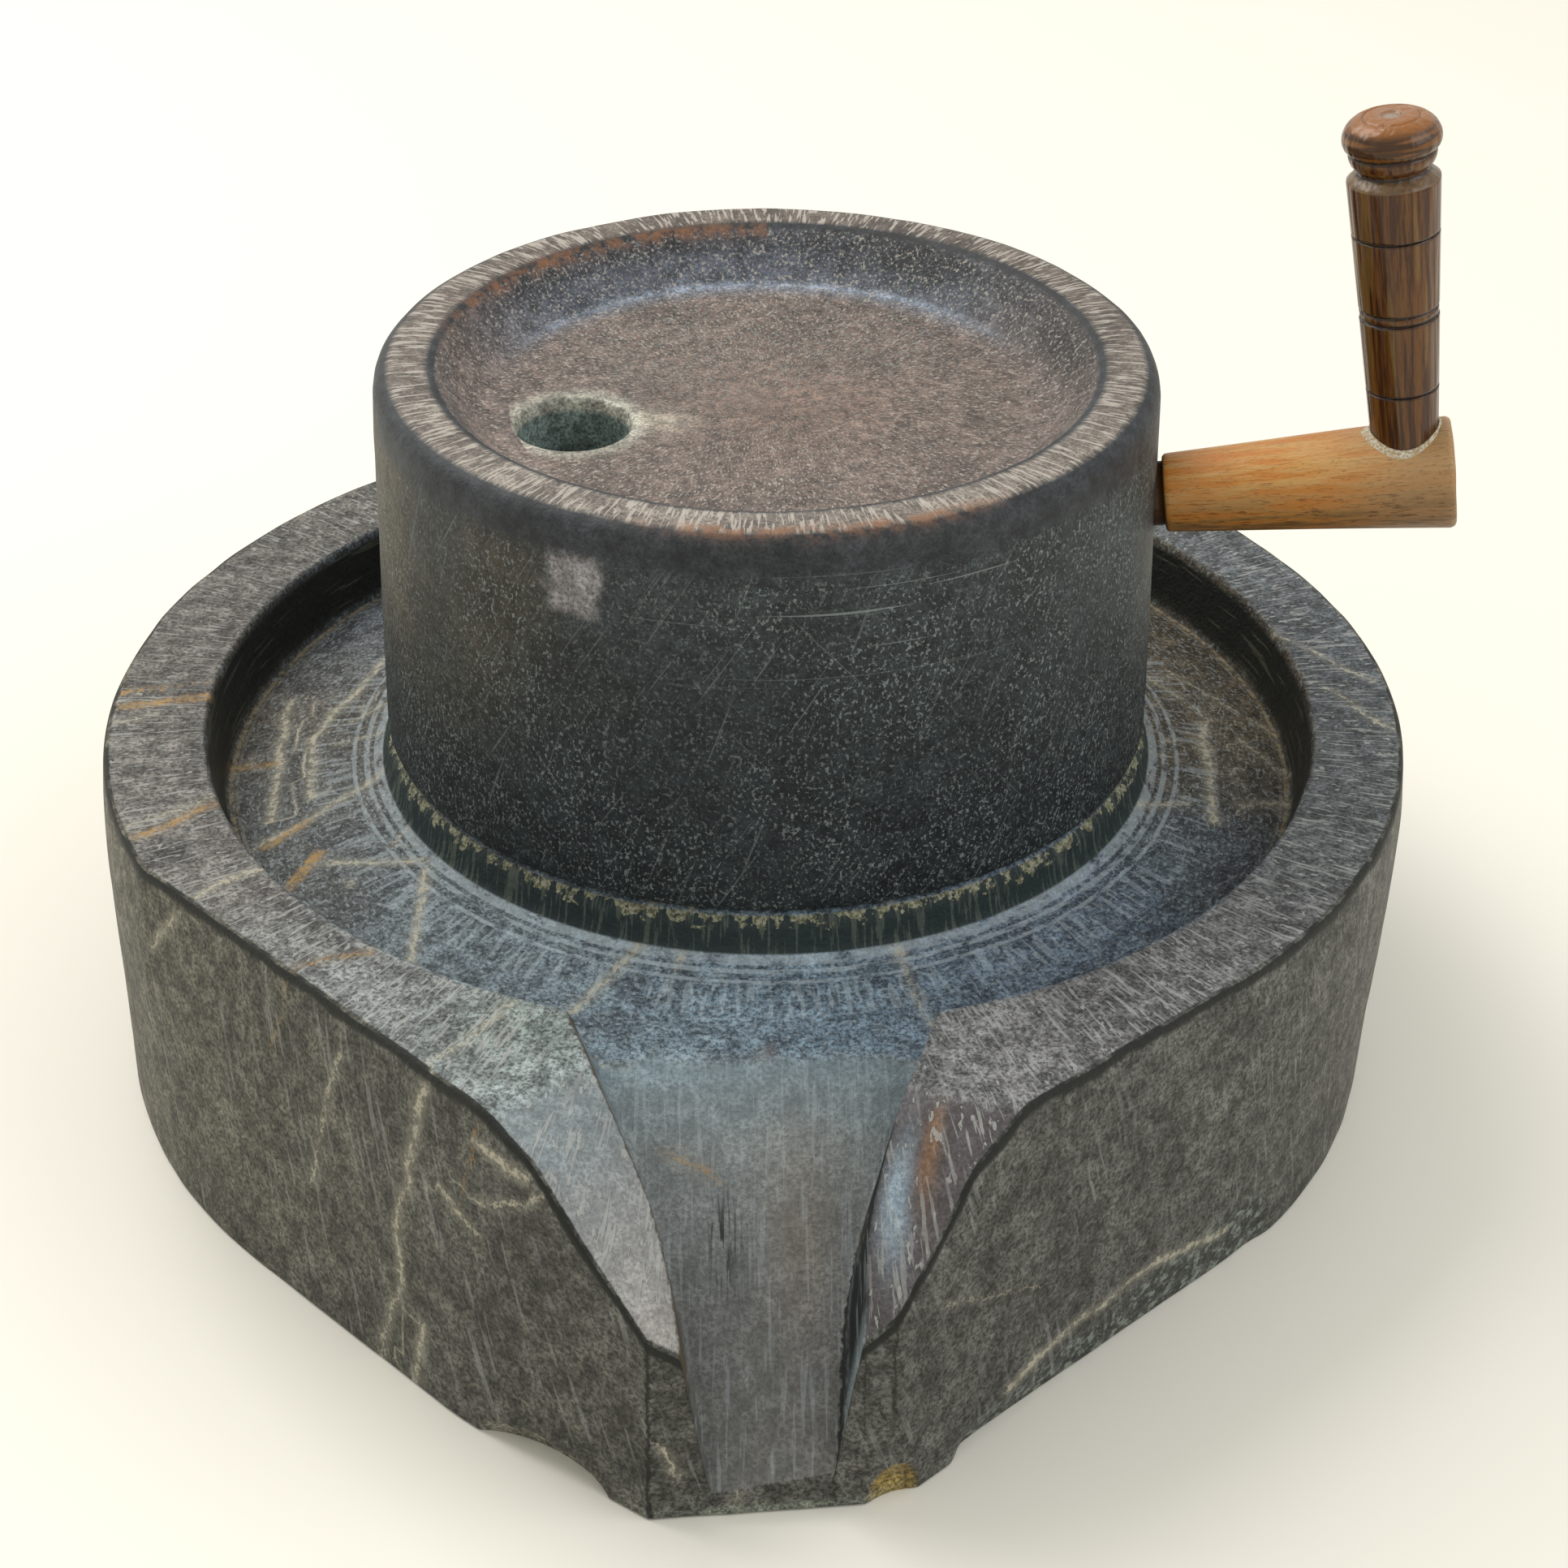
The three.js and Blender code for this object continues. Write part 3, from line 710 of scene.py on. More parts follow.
class Finish:
    """A material being built: each method adds a node and gives back its output."""

    def __init__(self, name):
        self.material = bpy.data.materials.new(name)
        self.material.use_nodes = True
        self.tree = self.material.node_tree
        self.shader = self.tree.nodes["Principled BSDF"]

    def add(self, kind, inputs=None, **settings):
        node = self.tree.nodes.new(kind)
        for key, value in settings.items():
            setattr(node, key, value)
        for key, value in (inputs or {}).items():
            self.put(node.inputs[key], value)
        return node

    def put(self, socket, value):
        if isinstance(value, bpy.types.NodeSocket):
            self.tree.links.new(value, socket)
        elif value is not None:
            socket.default_value = value

    def set(self, name, value):
        self.put(self.shader.inputs[name], value)

    def math(self, operation, a, b=None, clamp=False):
        return self.add("ShaderNodeMath", {0: a, 1: b}, operation=operation, use_clamp=clamp).outputs[0]

    def vector(self, operation, a, b):
        return self.add("ShaderNodeVectorMath", {0: a, 1: b}, operation=operation).outputs[0]

    def scaled(self, colour, factor):
        """The colour made darker or lighter by a number."""
        node = self.add("ShaderNodeVectorMath", {0: colour, "Scale": factor}, operation="SCALE")
        return node.outputs[0]

    def product(self, *values):
        """All the values multiplied together."""
        total = values[0]
        for value in values[1:]:
            total = self.math("MULTIPLY", total, value)
        return total

    def ring(self, value, middle, half, soft):
        """1 where the value is within half of the middle, fading to 0 over a soft edge."""
        away = self.math("ABSOLUTE", self.math("SUBTRACT", value, middle))
        return self.between(away, half, half + soft, 1, 0)

    def field(self, name, output="Fac"):
        return self.add("ShaderNodeAttribute", attribute_name=name).outputs[output]

    def place(self):
        """Object coordinates in millimetres."""
        spot = self.add("ShaderNodeTexCoord").outputs["Object"]
        return self.vector("MULTIPLY", spot, (1000, 1000, 1000))

    def stretched(self, vector, scale, shift=(0, 0, 0)):
        """The vector shifted and then scaled on each axis."""
        return self.vector("MULTIPLY", self.vector("ADD", vector, shift), scale)

    def noise(self, vector, scale, detail=3, rough=0.55, warp=0.0):
        node = self.add("ShaderNodeTexNoise", {"Vector": vector, "Scale": scale, "Detail": detail,
                                               "Roughness": rough, "Distortion": warp})
        return node.outputs["Fac"]

    def cells(self, vector, scale, feature="F1", spread=1.0):
        node = self.add("ShaderNodeTexVoronoi", {"Vector": vector, "Scale": scale, "Randomness": spread},
                        feature=feature)
        return node.outputs["Distance"]

    def between(self, value, low, high, start=0.0, end=1.0):
        """The value carried smoothly from low..high to start..end."""
        node = self.add("ShaderNodeMapRange", {"Value": value, "From Min": low, "From Max": high,
                                               "To Min": start, "To Max": end},
                        interpolation_type="SMOOTHSTEP")
        return node.outputs["Result"]

    def mix(self, share, a, b, mode="MIX"):
        node = self.add("ShaderNodeMix", data_type="RGBA", blend_type=mode, clamp_factor=True)
        self.put(node.inputs["Factor"], share)
        for socket, value in ((node.inputs[6], a), (node.inputs[7], b)):
            self.put(socket, value if isinstance(value, bpy.types.NodeSocket) else (*value[:3], 1))
        return node.outputs[2]

    def bump(self, height, depth, normal=None):
        """Bump of a height from 0 to 1 over that depth in millimetres."""
        node = self.add("ShaderNodeBump", {"Height": height, "Distance": depth * MM, "Strength": 1.0})
        self.put(node.inputs["Normal"], normal)
        return node.outputs["Normal"]


def vein_share(finish, name, wobble):
    """How fully a vein covers the surface, from its distance and width fields."""
    offset = finish.math("ADD", finish.field(f"{name}_offset"), wobble)
    width = finish.field(f"{name}_width")
    left = finish.math("SUBTRACT", width, finish.math("ABSOLUTE", offset))
    return finish.between(left, -0.25, 0.55)


# Colours of the base by turn in degrees: red, green and blue as linear reflectance, save for the painted reflections
# named below.
RIM_COLOURS = [
    (-180, 0.15, 0.145, 0.13), (-100, 0.17, 0.16, 0.145), (-60, 0.20, 0.19, 0.175), (-34, 0.24, 0.26, 0.255),
    (-20, 0.27, 0.31, 0.31), (14, 0.20, 0.20, 0.20), (35, 0.16, 0.16, 0.16), (70, 0.11, 0.12, 0.125),
    (100, 0.085, 0.10, 0.11), (140, 0.12, 0.13, 0.13),
]
# The trough's bluish front, from -30 to 30 degrees, is a painted reflection of cool light laid over the stone's own
# colour.
TROUGH_COLOURS = [
    (-180, 0.10, 0.09, 0.075), (-130, 0.10, 0.115, 0.13), (-95, 0.115, 0.105, 0.085), (-60, 0.105, 0.115, 0.115),
    (-30, 0.16, 0.21, 0.24), (0, 0.17, 0.24, 0.30), (30, 0.15, 0.20, 0.26), (55, 0.08, 0.11, 0.14),
    (75, 0.085, 0.08, 0.065), (100, 0.10, 0.08, 0.05),
]
FLANK_COLOURS = [
    (-180, 0.15, 0.14, 0.115), (-90, 0.155, 0.145, 0.11), (-60, 0.135, 0.13, 0.10), (-30, 0.105, 0.105, 0.085),
    (-12, 0.10, 0.10, 0.085), (8, 0.10, 0.10, 0.088), (25, 0.105, 0.105, 0.095), (60, 0.115, 0.115, 0.10),
    (90, 0.15, 0.14, 0.115),
]
# The channel's colour by y: its bluish top is a painted reflection of cool light, and it grows darker towards the
# spout's end.
CHANNEL_COLOURS = [  # by y
    (-222, 0.11, 0.11, 0.10), (-205, 0.16, 0.16, 0.15), (-185, 0.19, 0.195, 0.19), (-155, 0.26, 0.29, 0.29),
    (-135, 0.24, 0.32, 0.36),
]
# The left wing's pale tone by height, with a painted sheen: bluish near its top and pinkish near its low end.
LEFT_WING_COLOURS = [(40, 0.42, 0.39, 0.36), (70, 0.38, 0.38, 0.37), (88, 0.29, 0.33, 0.345), (96, 0.25, 0.29, 0.30)]
RUNNER_COLOURS = {
    "hole": (0.15, 0.19, 0.175), "lip": (0.30, 0.30, 0.25), "floor": (0.13, 0.098, 0.082),
    "wall": (0.15, 0.115, 0.10), "rim": (0.12, 0.098, 0.08), "edge": (0.026, 0.03, 0.034),
    "side": (0.017, 0.023, 0.025), "foot": (0.012, 0.016, 0.016), "under": (0.03, 0.03, 0.03),
}


def colour_at(table, key, period=None):
    """A colour table read at each key, each channel on straight lines between its entries."""
    table = np.array(table)
    keys = table[:, 0]
    return np.stack([np.interp(key, keys, table[:, c], period=period) for c in (1, 2, 3)], -1)


def blend(a, b, share):
    """Colour a turned into colour b by that share."""
    return a * (1 - share[..., None]) + np.asarray(b, float) * share[..., None]


def hump(value, middle, reach):
    """1 at the middle, falling away as a bell over that reach."""
    return np.exp(-(((value - middle) / reach) ** 2))


def part_mask(parts, names, width):
    """1 on the rows of the named parts and 0 elsewhere."""
    return np.repeat(np.array([float(part in names) for part in parts])[:, None], width, axis=1)


def base_zones(rows, parts, corner):
    """Where each worked surface of the base lies, from 0 to 1 at each point."""
    width = rows.shape[1]
    x, y, z = rows[..., 0], rows[..., 1], rows[..., 2]
    out = np.hypot(x - TROUGH_CENTRE[0], y - TROUGH_CENTRE[1])
    on_flank = part_mask(parts, ("edge", "flank", "foot", "under"), width)
    wing = wing_height(x, y)
    floor = channel_height(x, y)
    cut = wing - floor
    in_channel = smooth_step(cut, -1, 1) * (1 - on_flank)
    in_channel = in_channel * smooth_step(-y + lumps(rows, 9, 5) * 3, 133, 139)
    in_trough = (1 - smooth_step(out + lumps(rows, 7, 11) * 0.4, 149, 150.5)) * (1 - in_channel)
    wall = smooth_step(out, 144.2, 145.8) * (1 - smooth_step(z, RIM_HEIGHT - 2.6, RIM_HEIGHT - 0.6))
    wall = wall * (1 - smooth_step(cut, 0, 4)) * (1 - smooth_step(out, 151.5, 153)) * (1 - on_flank)
    corner_cut = wing_height(corner[:, 0], corner[:, 1]) - corner[:, 2]
    lined = np.broadcast_to(1 - smooth_step(corner_cut, 1, 4), x.shape)
    return {"on_flank": on_flank, "in_channel": in_channel, "in_trough": in_trough, "dark": wall,
            "on_wing": smooth_step(RIM_HEIGHT - wing, 0.3, 2.5) * (1 - on_flank) * (1 - in_channel),
            "lined": lined, "out": out}


def base_colour(rows, zones, broken):
    """The base's colour before its grain: each surface's own, turning with the direction, plus painted reflections on
    the trough, channel and wings, a painted shadow on the channel's right wall and painted bounce light on the left
    chip.
    """
    x, y, z = rows[..., 0], rows[..., 1], rows[..., 2]
    turn = np.degrees(np.arctan2(x, -y)) + lumps(rows, 40, 3) * 9
    colour = colour_at(RIM_COLOURS, turn, 360)
    inner_band = hump(zones["out"], 153.5, 2.6) * smooth_step(np.abs(turn + 90), 75, 50)
    colour = blend(colour, (0.07, 0.065, 0.06), inner_band * 0.5)
    pitted = hump(np.hypot(x + 150, y + 75), 0, 6)
    colour = blend(colour, (0.03, 0.03, 0.03), pitted * 0.75)
    green = hump(np.hypot(x + 58, y + 148), 0, 16)
    colour = blend(colour, (0.23, 0.29, 0.25), green * 0.6)
    colour = blend(colour, colour_at(TROUGH_COLOURS, turn, 360), zones["in_trough"])

    left = zones["on_wing"] * (x < 0)
    right = zones["on_wing"] * (x > 0)
    colour = blend(colour, colour_at(LEFT_WING_COLOURS, z), left)
    colour = blend(colour, (0.16, 0.15, 0.16), right)
    facet = smooth_step(-y, 171, 177) * right
    across = x - spout_at(y, 3) - 0.22 * (wing_height(x, y) - spout_at(y, 1))
    colour = blend(colour, (0.085, 0.075, 0.075), facet * 0.8)
    # Painted reflection: a bluish-white strip along the right wing's lower facet.
    colour = blend(colour, (0.34, 0.44, 0.52), facet * hump(across, 2.5, 2.6) * hump(y, -186, 9))
    colour = blend(colour, (0.30, 0.17, 0.09), facet * hump(across, 8, 1.8) * hump(y, -181, 8) * 0.8)

    channel = colour_at(CHANNEL_COLOURS, y)
    channel = blend(channel, (0.34, 0.27, 0.20), hump(np.hypot(x - 8, (y + 168) / 2), 0, 9) * 0.35)
    right_wall = smooth_step(x - spout_at(y, 3), 0, 2)
    channel = blend(channel, (0.26, 0.33, 0.36), right_wall * 0.7)
    # Painted shadow: a near-black wedge low on the channel's right wall, from y -170 to -200.
    channel = blend(channel, (0.012, 0.015, 0.016), right_wall * smooth_step(-y, 166, 174) * (1 - smooth_step(-y, 196, 204)))
    colour = blend(colour, channel, zones["in_channel"])

    flank = colour_at(FLANK_COLOURS, turn, 360)
    left_chip, right_chip, spall = broken
    # The left chip's downward face is painted pale as bounce light from the floor.
    flank = blend(flank, (0.26, 0.25, 0.20), smooth_step(left_chip, 0.2, 1.0))
    flank = blend(flank, (0.33, 0.24, 0.07), smooth_step(right_chip, 0.1, 1.0))
    flank = blend(flank, (0.075, 0.08, 0.075), smooth_step(spall, 0.2, 0.9) * 0.6)
    nose_foot = hump(z, 1.5, 1.6) * hump(x, 2, 24) * (y < -195)
    flank = blend(flank, (0.30, 0.34, 0.27), nose_foot * 0.7)
    colour = blend(colour, flank, zones["on_flank"])
    bed_face = 1 - smooth_step(np.hypot(x, y), 98, 100)
    return blend(colour, (0.09, 0.09, 0.085), bed_face * zones["in_trough"])


def crease_fields(rows):
    """Sheets along the spout's edges: the left lip in brown, the right foot in black."""
    x, y = rows[..., 0], rows[..., 1]
    floor, wing = spout_at(y, 1), wing_height(x, y)
    left_lip = spout_at(y, 2) - spout_at(y, 4) * (wing - floor)
    right_foot = spout_at(y, 3)
    here = smooth_step(-y, 134, 146)
    return {
        "brown_offset": x - left_lip - 0.6, "brown_width": 1.3 * here * (x < -4) * (y > -209),
        "seam_offset": x - right_foot - 0.4, "seam_width": (0.35 + 0.5 * smooth_step(-y, 165, 190)) * here * (x > 4),
    }


def base_fields(rows, parts, corner, broken):
    """Everything that the base's material reads at each point."""
    zones = base_zones(rows, parts, corner)
    signed = np.linalg.norm(rows - corner[None], axis=-1)
    index = parts.index("edge")
    signed[index + 2:] *= -1
    signed[index:index + 2] = np.minimum(signed[index:index + 2], 0.4)
    fields = {"tint": base_colour(rows, zones, broken), "edge_run": np.clip(signed, -30, 30)}
    fields["chipped"] = smooth_step(broken[0] + broken[1], 0.2, 1.0)
    fields["spalled"] = smooth_step(broken[2], 0.2, 0.9)
    fields["brush"] = hump((rows[..., 0] + 10.5) / 4.5, 0, 1) * hump((rows[..., 1] + 172) / 9, 0, 1)
    fields.update(zones)
    fields.update(crease_fields(rows))
    on_flank = zones["on_flank"] > 0.5
    for name, top, side, seed in (("cream", CREAM_VEINS, FLANK_VEINS, 21), ("ochre", OCHRE_VEINS, RUST_VEINS, 31)):
        offset, half = sheet_field(rows, top, False, seed)
        side_offset, side_half = sheet_field(rows, side, True, seed + 10)
        fields[f"{name}_offset"] = np.where(on_flank, side_offset, offset)
        fields[f"{name}_width"] = np.where(on_flank, side_half, half) * 0.72
    corner_offset, corner_half = sheet_field(rows, NOSE_LINES, True, 0, wave=0.2)
    fields["seam_offset"] = np.where(on_flank, corner_offset, fields["seam_offset"])
    fields["seam_width"] = np.where(on_flank, corner_half, fields["seam_width"])
    return fields


def runner_fields(rows, parts):
    """Everything that the runner's material reads at each point."""
    width = rows.shape[1]
    x, y, z = rows[..., 0], rows[..., 1], rows[..., 2]
    turn = np.degrees(np.arctan2(x, -y))
    reach = np.hypot(x, y)
    colour = np.repeat(np.array([RUNNER_COLOURS[part] for part in parts])[:, None], width, axis=1)
    on_side = part_mask(parts, ("side", "foot"), width)
    on_rim = part_mask(parts, ("rim",), width)
    in_dish = part_mask(parts, ("floor", "wall"), width)
    drift = lumps(rows, 30, 61)

    back = smooth_step(np.abs(turn) + drift * 12, 95, 135)
    wall = smooth_step(reach, 68, 73) * (1 - smooth_step(reach, 83, 85)) * in_dish
    # Painted reflection: the back of the dish wall is tinted dark blue by reflected cool light.
    colour = blend(colour, (0.075, 0.09, 0.12), wall * back * 0.9)
    # Painted shade: a dark band high on the dish wall, below the rim, strongest at the back.
    colour = blend(colour, (0.035, 0.035, 0.04), hump(reach, 82, 3.2) * in_dish * (0.35 + 0.45 * back))
    dark_spot = hump(np.hypot(turn - 150, (reach - 82) * 2), 0, 16) + hump(np.hypot(turn - 105, (reach - 80) * 3), 0, 20)
    colour = blend(colour, (0.02, 0.02, 0.022), np.clip(dark_spot, 0, 1) * 0.8)
    # Painted highlight: a bluish-white line at the foot of the dish wall, at the back.
    colour = blend(colour, (0.30, 0.36, 0.46), hump(reach, 71.5, 1.3) * smooth_step(np.abs(turn), 110, 150) * 0.8)
    colour = blend(colour, (0.19, 0.10, 0.065), hump(np.hypot(x - 8, y + 2), 0, 26) * in_dish * 0.35)

    hole = np.array(FEED_HOLE["at"])
    from_hole = np.hypot(x - hole[0], y - hole[1])
    ring = hump(from_hole, 17, 2.4) * part_mask(parts, ("floor", "lip"), width)
    colour = blend(colour, (0.36, 0.35, 0.29), ring * 0.7)
    patch = hump(np.hypot((x - hole[0] - 22) / 6.5, (y - hole[1] - 1) / 5), 0, 1) * in_dish
    colour = blend(colour, (0.48, 0.42, 0.33), patch * 0.85)

    colour = blend(colour, (0.21, 0.185, 0.16), on_rim * hump(turn, 0, 70) * 0.8)
    rust = hump(reach, 84.3, 1.5) * (z > 190) * smooth_step(np.abs(turn + 150), 60, 30)
    rust = rust + hump(reach, 95.5, 2.0) * (z > 190) * smooth_step(np.abs(turn - 8), 34, 14)

    # The brownish upper left of the runner's side is partly its own tone and partly a painted reflection of the beige
    # surroundings.
    warm = smooth_step(-turn + drift * 18, 28, 62) * (1 - smooth_step(-turn, 120, 160)) * smooth_step(z + drift * 12, 118, 160)
    colour = blend(colour, (0.055, 0.045, 0.026), on_side * warm)
    edge_right = smooth_step(turn, 62, 82) * (1 - smooth_step(turn, 120, 150))
    colour = blend(colour, (0.065, 0.062, 0.052), on_side * edge_right * smooth_step(z, 110, 150))
    high = smooth_step(z, 150, 190) * on_side
    colour = blend(colour, (0.036, 0.044, 0.047), high * 0.6 * (1 - warm))
    low = 1 - smooth_step(z, 97, 118)
    colour = blend(colour, (0.013, 0.018, 0.018), low * on_side * 0.8)
    pale = np.maximum(np.abs(turn + 27 + lumps(rows, 4, 66) * 1.5) / 4.4, np.abs(z - 181 + lumps(rows, 4, 67)) / 8.5)
    pale = 1 - smooth_step(pale, 0.75, 1.1)
    colour = blend(colour, (0.26, 0.24, 0.24), on_side * pale * 0.8)
    fleck = on_side * (0.45 + 0.55 * smooth_step(lumps(rows, 16, 62), -0.5, 0.3)) + 0.5 * in_dish * back + 0.35 * in_dish
    return {"tint": colour, "on_side": on_side, "on_rim": on_rim, "in_dish": in_dish, "rust": np.clip(rust, 0, 1),
            "fleck": np.clip(fleck, 0, 1), "reach": reach, "turned": np.cos(np.radians(turn - 40)),
            "hole": part_mask(parts, ("hole",), width)}


# ---------------------------------------------------------------------------------------------
# Settings

def colour_setting(name, description, default):
    return bpy.props.FloatVectorProperty(name=name, description=description, default=default, size=3,
                                         min=0, max=1, subtype="COLOR")


def length_setting(name, description, default):
    return bpy.props.FloatProperty(name=name, description=description, default=default, min=0,
                                   unit="LENGTH", precision=4)


def share_setting(name, description, default):
    return bpy.props.FloatProperty(name=name, description=description, default=default, min=0, max=1,
                                   subtype="FACTOR")


class QuernBase(bpy.types.PropertyGroup):
    """Sizes and colours of the trough base."""
    edge_line: length_setting("Edge line", "Width of the black line along the outer top edge", 0.0021)
    wobble: length_setting("Wobble", "How far the worked surfaces wander from their true shape", 0.0004)
    dark: colour_setting("Dark", "Colour of the trough's wall and the edge line", (0.012, 0.014, 0.011))
    cream: colour_setting("Cream", "Colour of the pale veins", (0.46, 0.43, 0.33))
    ochre: colour_setting("Ochre", "Colour of the rusty veins", (0.40, 0.25, 0.09))
    peck: colour_setting("Peck", "Colour of the tool dashes", (0.40, 0.41, 0.39))
    frost: colour_setting("Frost", "Colour of the powdered marks in the trough", (0.56, 0.65, 0.69))
    roughness: share_setting("Roughness", "Roughness of the dressed stone", 0.55)


class QuernRunner(bpy.types.PropertyGroup):
    """Sizes and colours of the runner stone."""
    wobble: length_setting("Wobble", "How far the worked surfaces wander from their true shape", 0.00025)
    fleck: colour_setting("Fleck", "Colour of the pale mineral flecks", (0.26, 0.30, 0.29))
    rust: colour_setting("Rust", "Colour of the stained line inside the rim", (0.24, 0.10, 0.035))
    peck: colour_setting("Peck", "Colour of the tool dashes", (0.50, 0.46, 0.40))
    roughness: share_setting("Roughness", "Roughness of the rubbed side", 0.5)


class QuernHandle(bpy.types.PropertyGroup):
    """Sizes and colours of the wooden arm, its grip and the glue between them."""
    arm_light: colour_setting("Arm, light", "Colour of the arm's oiled wood", (0.50, 0.19, 0.03))
    arm_tan: colour_setting("Arm, tan", "Colour of the arm's dry wood", (0.52, 0.29, 0.09))
    # arm_dark also gives the painted shade on the arm's underside.
    arm_dark: colour_setting("Arm, dark", "Colour of the arm's grain and stain", (0.07, 0.025, 0.005))
    arm_end: colour_setting("Arm, end", "Colour of the arm's handled outer end", (0.33, 0.22, 0.11))
    grip_light: colour_setting("Grip, light", "Colour of the grip where the varnish has worn", (0.13, 0.05, 0.008))
    # grip_olive is a painted highlight tone laid on the grip's planed strips.
    grip_olive: colour_setting("Grip, olive", "Colour of the grip's planed strips", (0.17, 0.10, 0.026))
    grip_dark: colour_setting("Grip, dark", "Colour of the varnished grip", (0.045, 0.013, 0.002))
    glue: colour_setting("Glue", "Colour of the glue squeezed out at the grip's foot", (0.62, 0.60, 0.50))
    glue_width: length_setting("Glue width", "How far the glue spreads from the grip", 0.0016)


class QuernStage(bpy.types.PropertyGroup):
    """Floor and light around the part."""
    floor: colour_setting("Floor", "Colour of the floor", (0.84, 0.815, 0.73))
    sky: colour_setting("Surroundings", "Colour of the soft light all round", (1.0, 0.985, 0.95))
    sky_strength: bpy.props.FloatProperty(name="Surroundings, strength", default=0.76, min=0,
                                          description="Brightness of the soft light all round")
    key_power: bpy.props.FloatProperty(name="Key light", default=24, min=0, unit="POWER",
                                       description="Power of the large lamp above and behind on the left")
    fill_power: bpy.props.FloatProperty(name="Fill light", default=8, min=0, unit="POWER",
                                        description="Power of the lamp on the right")


# ---------------------------------------------------------------------------------------------
# Operators

def stone_vectors(finish):
    """Object coordinates in millimetres, the outward direction times 150, and the reach from the axis."""
    place = finish.place()
    flat = finish.vector("MULTIPLY", place, (1, 1, 0))
    around = finish.vector("MULTIPLY", finish.vector("NORMALIZE", flat, None), (150, 150, 150))
    reach = finish.add("ShaderNodeVectorMath", {0: flat}, operation="LENGTH").outputs["Value"]
    return place, around, reach


def ring_vector(finish, around, along, across_scale, along_scale):
    """A vector for marks that follow a ring: scaled round it, and separately along its columns."""
    rise = finish.math("MULTIPLY", along, along_scale)
    lift = finish.add("ShaderNodeCombineXYZ", {"X": 0.0, "Y": 0.0, "Z": rise}).outputs[0]
    return finish.vector("ADD", finish.vector("MULTIPLY", around, (across_scale,) * 3), lift)


def base_marks(finish, place, around, reach, height):
    """The base's struck and rubbed marks, each from 0 to 1."""
    on_flank, in_trough = finish.field("on_flank"), finish.field("in_trough")
    in_channel = finish.field("in_channel")
    top = finish.math("SUBTRACT", 1.0, on_flank, True)
    rim = finish.product(top, finish.math("SUBTRACT", 1.0, in_trough, True),
                         finish.math("SUBTRACT", 1.0, in_channel, True))
    patchy = finish.between(finish.noise(place, 0.045, 3, 0.6), 0.32, 0.62, 0.35, 1)
    dash = finish.noise(ring_vector(finish, around, reach, 1.25, 0.11), 1.0, 2, 0.45)
    short = finish.noise(ring_vector(finish, around, reach, 0.8, 0.35), 1.0, 2, 0.5)
    marks = {"dash": finish.product(finish.between(dash, 0.565, 0.625), rim, patchy)}
    marks["dash"] = finish.math("MAXIMUM", marks["dash"], finish.product(finish.between(short, 0.62, 0.66), rim))
    peck = finish.noise(ring_vector(finish, around, reach, 0.4, 1.15), 1.0, 3, 0.55)
    speck = finish.noise(place, 0.85, 3, 0.6)
    front = finish.math("MULTIPLY", finish.vector("DOT_PRODUCT", around, (0, -1, 0)), 1 / 150)
    front = finish.between(front, 0.1, 0.85, 0.35, 1)
    pecks = finish.math("MAXIMUM", finish.between(peck, 0.575, 0.62), finish.between(speck, 0.585, 0.63))
    marks["peck"] = finish.product(pecks, in_trough, front)
    rings = None
    uneven = finish.between(finish.noise(ring_vector(finish, around, reach, 0.12, 0.5), 1.0, 3, 0.6), 0.33, 0.52)
    for middle, half in ((105.2, 1.2), (108.6, 0.5), (112.0, 0.3)):
        band = finish.ring(reach, middle, half, 0.5)
        rings = band if rings is None else finish.math("MAXIMUM", rings, band)
    marks["ring"] = finish.product(rings, uneven, in_trough, front)
    comb = finish.noise(ring_vector(finish, around, reach, 0.5, 0.1), 1.0, 1, 0.4)
    marks["comb"] = finish.product(finish.between(comb, 0.55, 0.60), finish.ring(reach, 118, 4.5, 1.5), in_trough, front)
    twisted = finish.add("ShaderNodeVectorRotate",
                         {"Vector": around, "Angle": finish.math("MULTIPLY", height, 0.0014)},
                         rotation_type="Z_AXIS").outputs[0]
    streak = finish.noise(ring_vector(finish, twisted, height, 0.75, 0.045), 1.0, 2, 0.5)
    left = finish.between(finish.vector("DOT_PRODUCT", around, (-1, 0, 0)), -60, 60, 0.25, 1)
    clumps = finish.between(finish.noise(place, 0.035, 2, 0.5), 0.42, 0.62, 0.2, 1)
    marks["streak"] = finish.product(finish.between(streak, 0.585, 0.66), on_flank, left, clumps)
    rub = finish.noise(finish.stretched(place, (0.9, 0.05, 0.05)), 1.0, 3, 0.55)
    marks["rub"] = finish.product(finish.between(rub, 0.54, 0.66), in_channel)
    marks["brush"] = finish.product(finish.between(rub, 0.50, 0.54), finish.field("brush"))
    return marks


